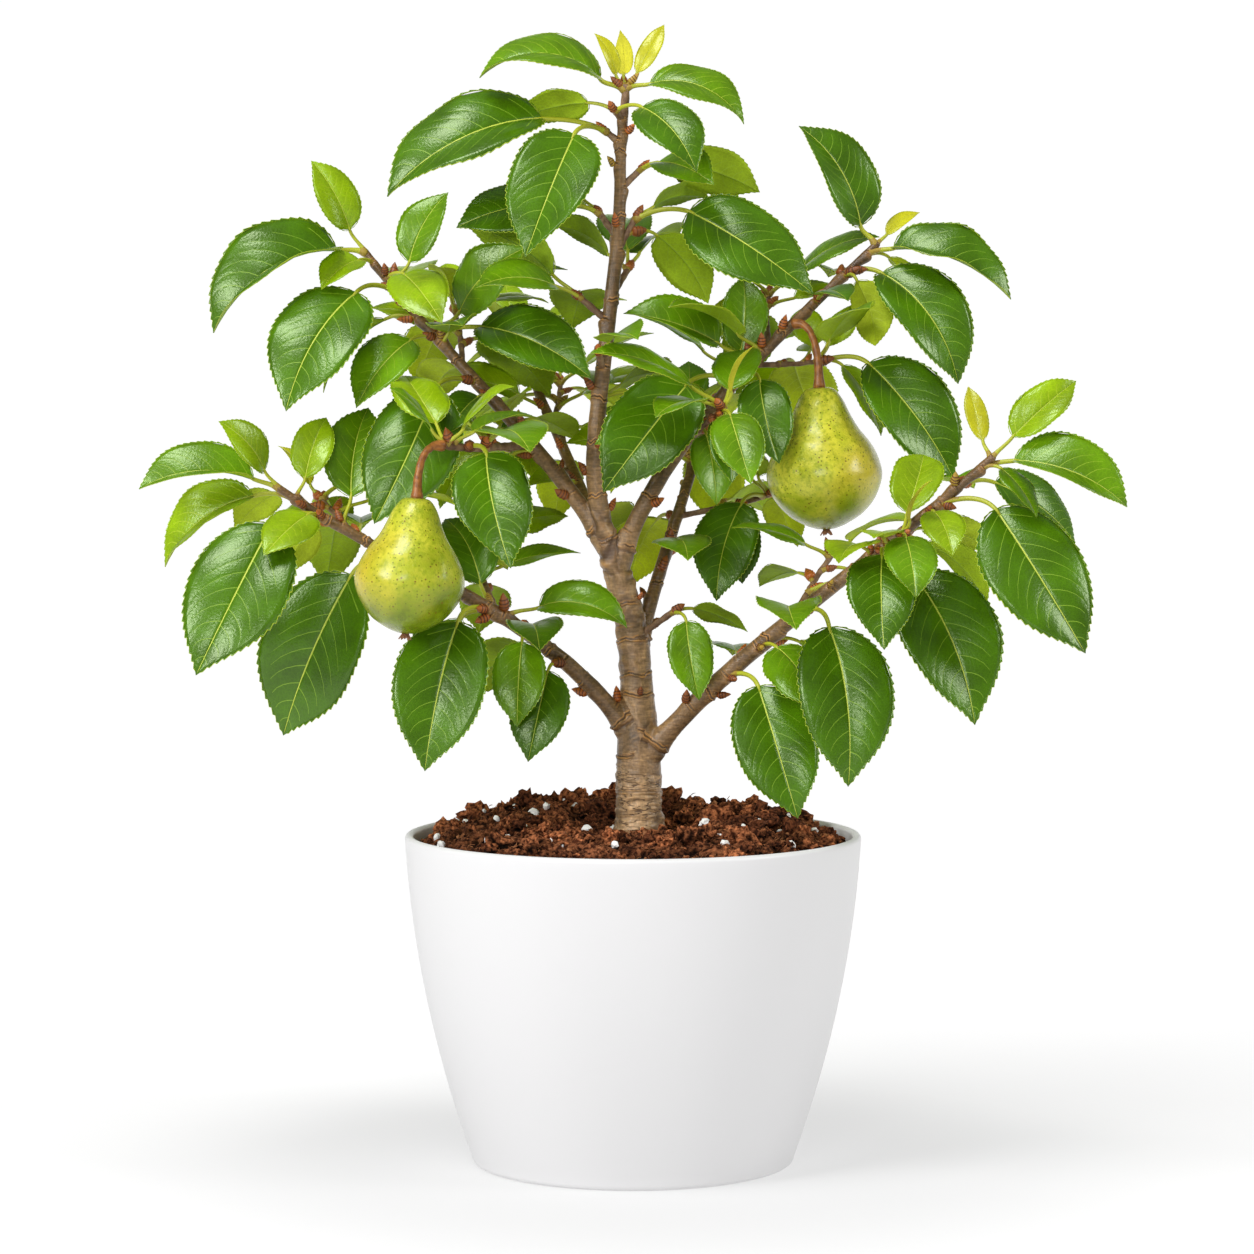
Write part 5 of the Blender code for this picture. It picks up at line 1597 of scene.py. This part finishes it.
fruit = bmesh.new()
sepals = bmesh.new()
stalk_rows = []
for mass in masses:
    if not mass.pear:
        continue
    stalk, length, tilt = mass.pear
    knots = [(i, t, r) for i, (t, r) in enumerate(PEAR_PROFILE[:-1])]
    outline = [(0.0, -0.004 * length)]
    steps = 84
    for step in range(1, steps + 1):
        t, r = smooth_row(knots, step / steps * (len(knots) - 1))
        outline.append((max(0.0, r) * length * PEAR_SLIMNESS, -t * length))
    outline += [(0.10 * length * PEAR_SLIMNESS, -0.985 * length), (0.0, -0.975 * length)]
    body = turn_profile(outline, 80)
    lean = math.radians(tilt)
    top = stalk[-1][0] + UP * MM
    blush_layer = body.verts.layers.float.new("blush")
    dimple_layer = body.verts.layers.float.new("dimple")
    ripeness_and_light_layer = body.verts.layers.float.new("ripe")
    # The right pear's higher offset is partly painted light, lifting it where the leaves shade it.
    ripeness_and_light_offset, cheek = (1.1, Vector((0.75, -0.65, 0))) if top.x > 0 else (0.62, Vector((-0.90, -0.42, 0)))

    def hang(point):
        x, y, z = point
        return top + Vector((x * math.cos(lean) + z * math.sin(lean), y, z * math.cos(lean) - x * math.sin(lean)))

    for vertex in body.verts:
        x, y, z = vertex.co
        low = -z / length
        swell = 1 + 0.06 * noise.noise(Vector((x, y, z)) * 24 + top * 40) + 0.012 * noise.noise(vertex.co * 110)
        facing = Vector((x, y, 0)).normalized().dot(cheek) if low < 0.99 else 0.0
        patch = noise.noise(Vector((x, y, z)) * 60 + top * 10)
        # Painted light and shade: sides facing the lamps at the left front turn yellower, and the skin turns greener
        # and darker past its middle downward; patch is the skin's own ripeness.
        toward_lamps = Vector((x, y, 0)).normalized().dot(Vector((-0.80, -0.60, 0))) * min(1.0, math.hypot(x, y) / 0.02)
        vertex[ripeness_and_light_layer] = min(1.0, max(0.0, ripeness_and_light_offset + 0.42 * toward_lamps - 2.4 * max(0.0, low - 0.52) + 0.5 * patch))
        vertex[blush_layer] = max(0.0, min(0.7, (facing - 0.55) * 1.2 + 0.5 * patch)) * bell(low - 0.55, 0.32)
        vertex[dimple_layer] = bell(math.hypot(x, y), 0.0035) if low > 0.9 else bell(math.hypot(x, y) - 0.002, 0.003) * 0.8 if low < 0.03 else 0.0
        vertex.co = hang((x * swell, y * swell, z))
    body_data = bpy.data.meshes.new("pear body")
    body.to_mesh(body_data)
    body.free()
    fruit.from_mesh(body_data)
    bpy.data.meshes.remove(body_data)
    for number in range(5):
        turn = math.tau * number / 5 + 0.4
        out, side = Vector((math.cos(turn), math.sin(turn), 0)), Vector((-math.sin(turn), math.cos(turn), 0))
        low = Vector((0, 0, -0.992 * length))
        corners = (
            low + side * 0.0016, low - side * 0.0016, low + out * 0.0022 - side * 0.0012 - UP * 0.0030,
            low + out * 0.0034 - UP * 0.0046, low + out * 0.0022 + side * 0.0012 - UP * 0.0030,
        )
        front = [sepals.verts.new(hang(corner)) for corner in corners]
        back = [sepals.verts.new(hang(corner + out * 0.0006 + UP * 0.0002)) for corner in corners]
        sepals.faces.new(front)
        sepals.faces.new(reversed(back))
        for a in range(5):
            b = (a + 1) % 5
            sepals.faces.new((front[b], front[a], back[a], back[b]))
    bow = []
    for step in range(25):
        share = step / 24 * (len(stalk) - 1)
        index = min(int(share), len(stalk) - 2)
        (here, r), (there, s) = stalk[index], stalk[index + 1]
        t = share - index
        before = stalk[max(0, index - 1)][0]
        after = stalk[min(len(stalk) - 1, index + 2)][0]
        point = here.lerp(there, t) + (here * 2 - before - there + (there * 2 - here - after)) * (t * (1 - t) / 8)
        knob = 1 + 0.22 * bell(step - 2.5, 1.6) + 0.05 * math.sin(step * 1.7) + 0.20 * bell(step - 24, 2)
        bow.append((point, (r + (s - r) * t) * 0.84 * knob))
    stalk_rows.append(bow)
pear_nodes = ["foliage_" + name for name in PEARS]
finish_piece("pears", fruit, [pear_skin], pear_nodes)
bmesh.ops.recalc_face_normals(sepals, faces=sepals.faces)
dry_flower = plain_shader("dried flower", (0.26, 0.11, 0.05), 0.8)[0]
finish_piece("dried_flowers", sepals, [dry_flower], pear_nodes, False)

stalk_brown, shader, nodes, links = plain_shader("pear stalk", (0.34, 0.13, 0.05), 0.38)
streaks = noise_between(nodes, links, 300, 0.35, 0.65, 3.0)
links.new(blend_nodes(nodes, links, (0.20, 0.065, 0.014, 1), (0.45, 0.17, 0.036, 1), streaks), shader.inputs["Base Color"])
finish_piece("pear_stalks", tubes(stalk_rows, 4), [stalk_brown], pear_nodes)
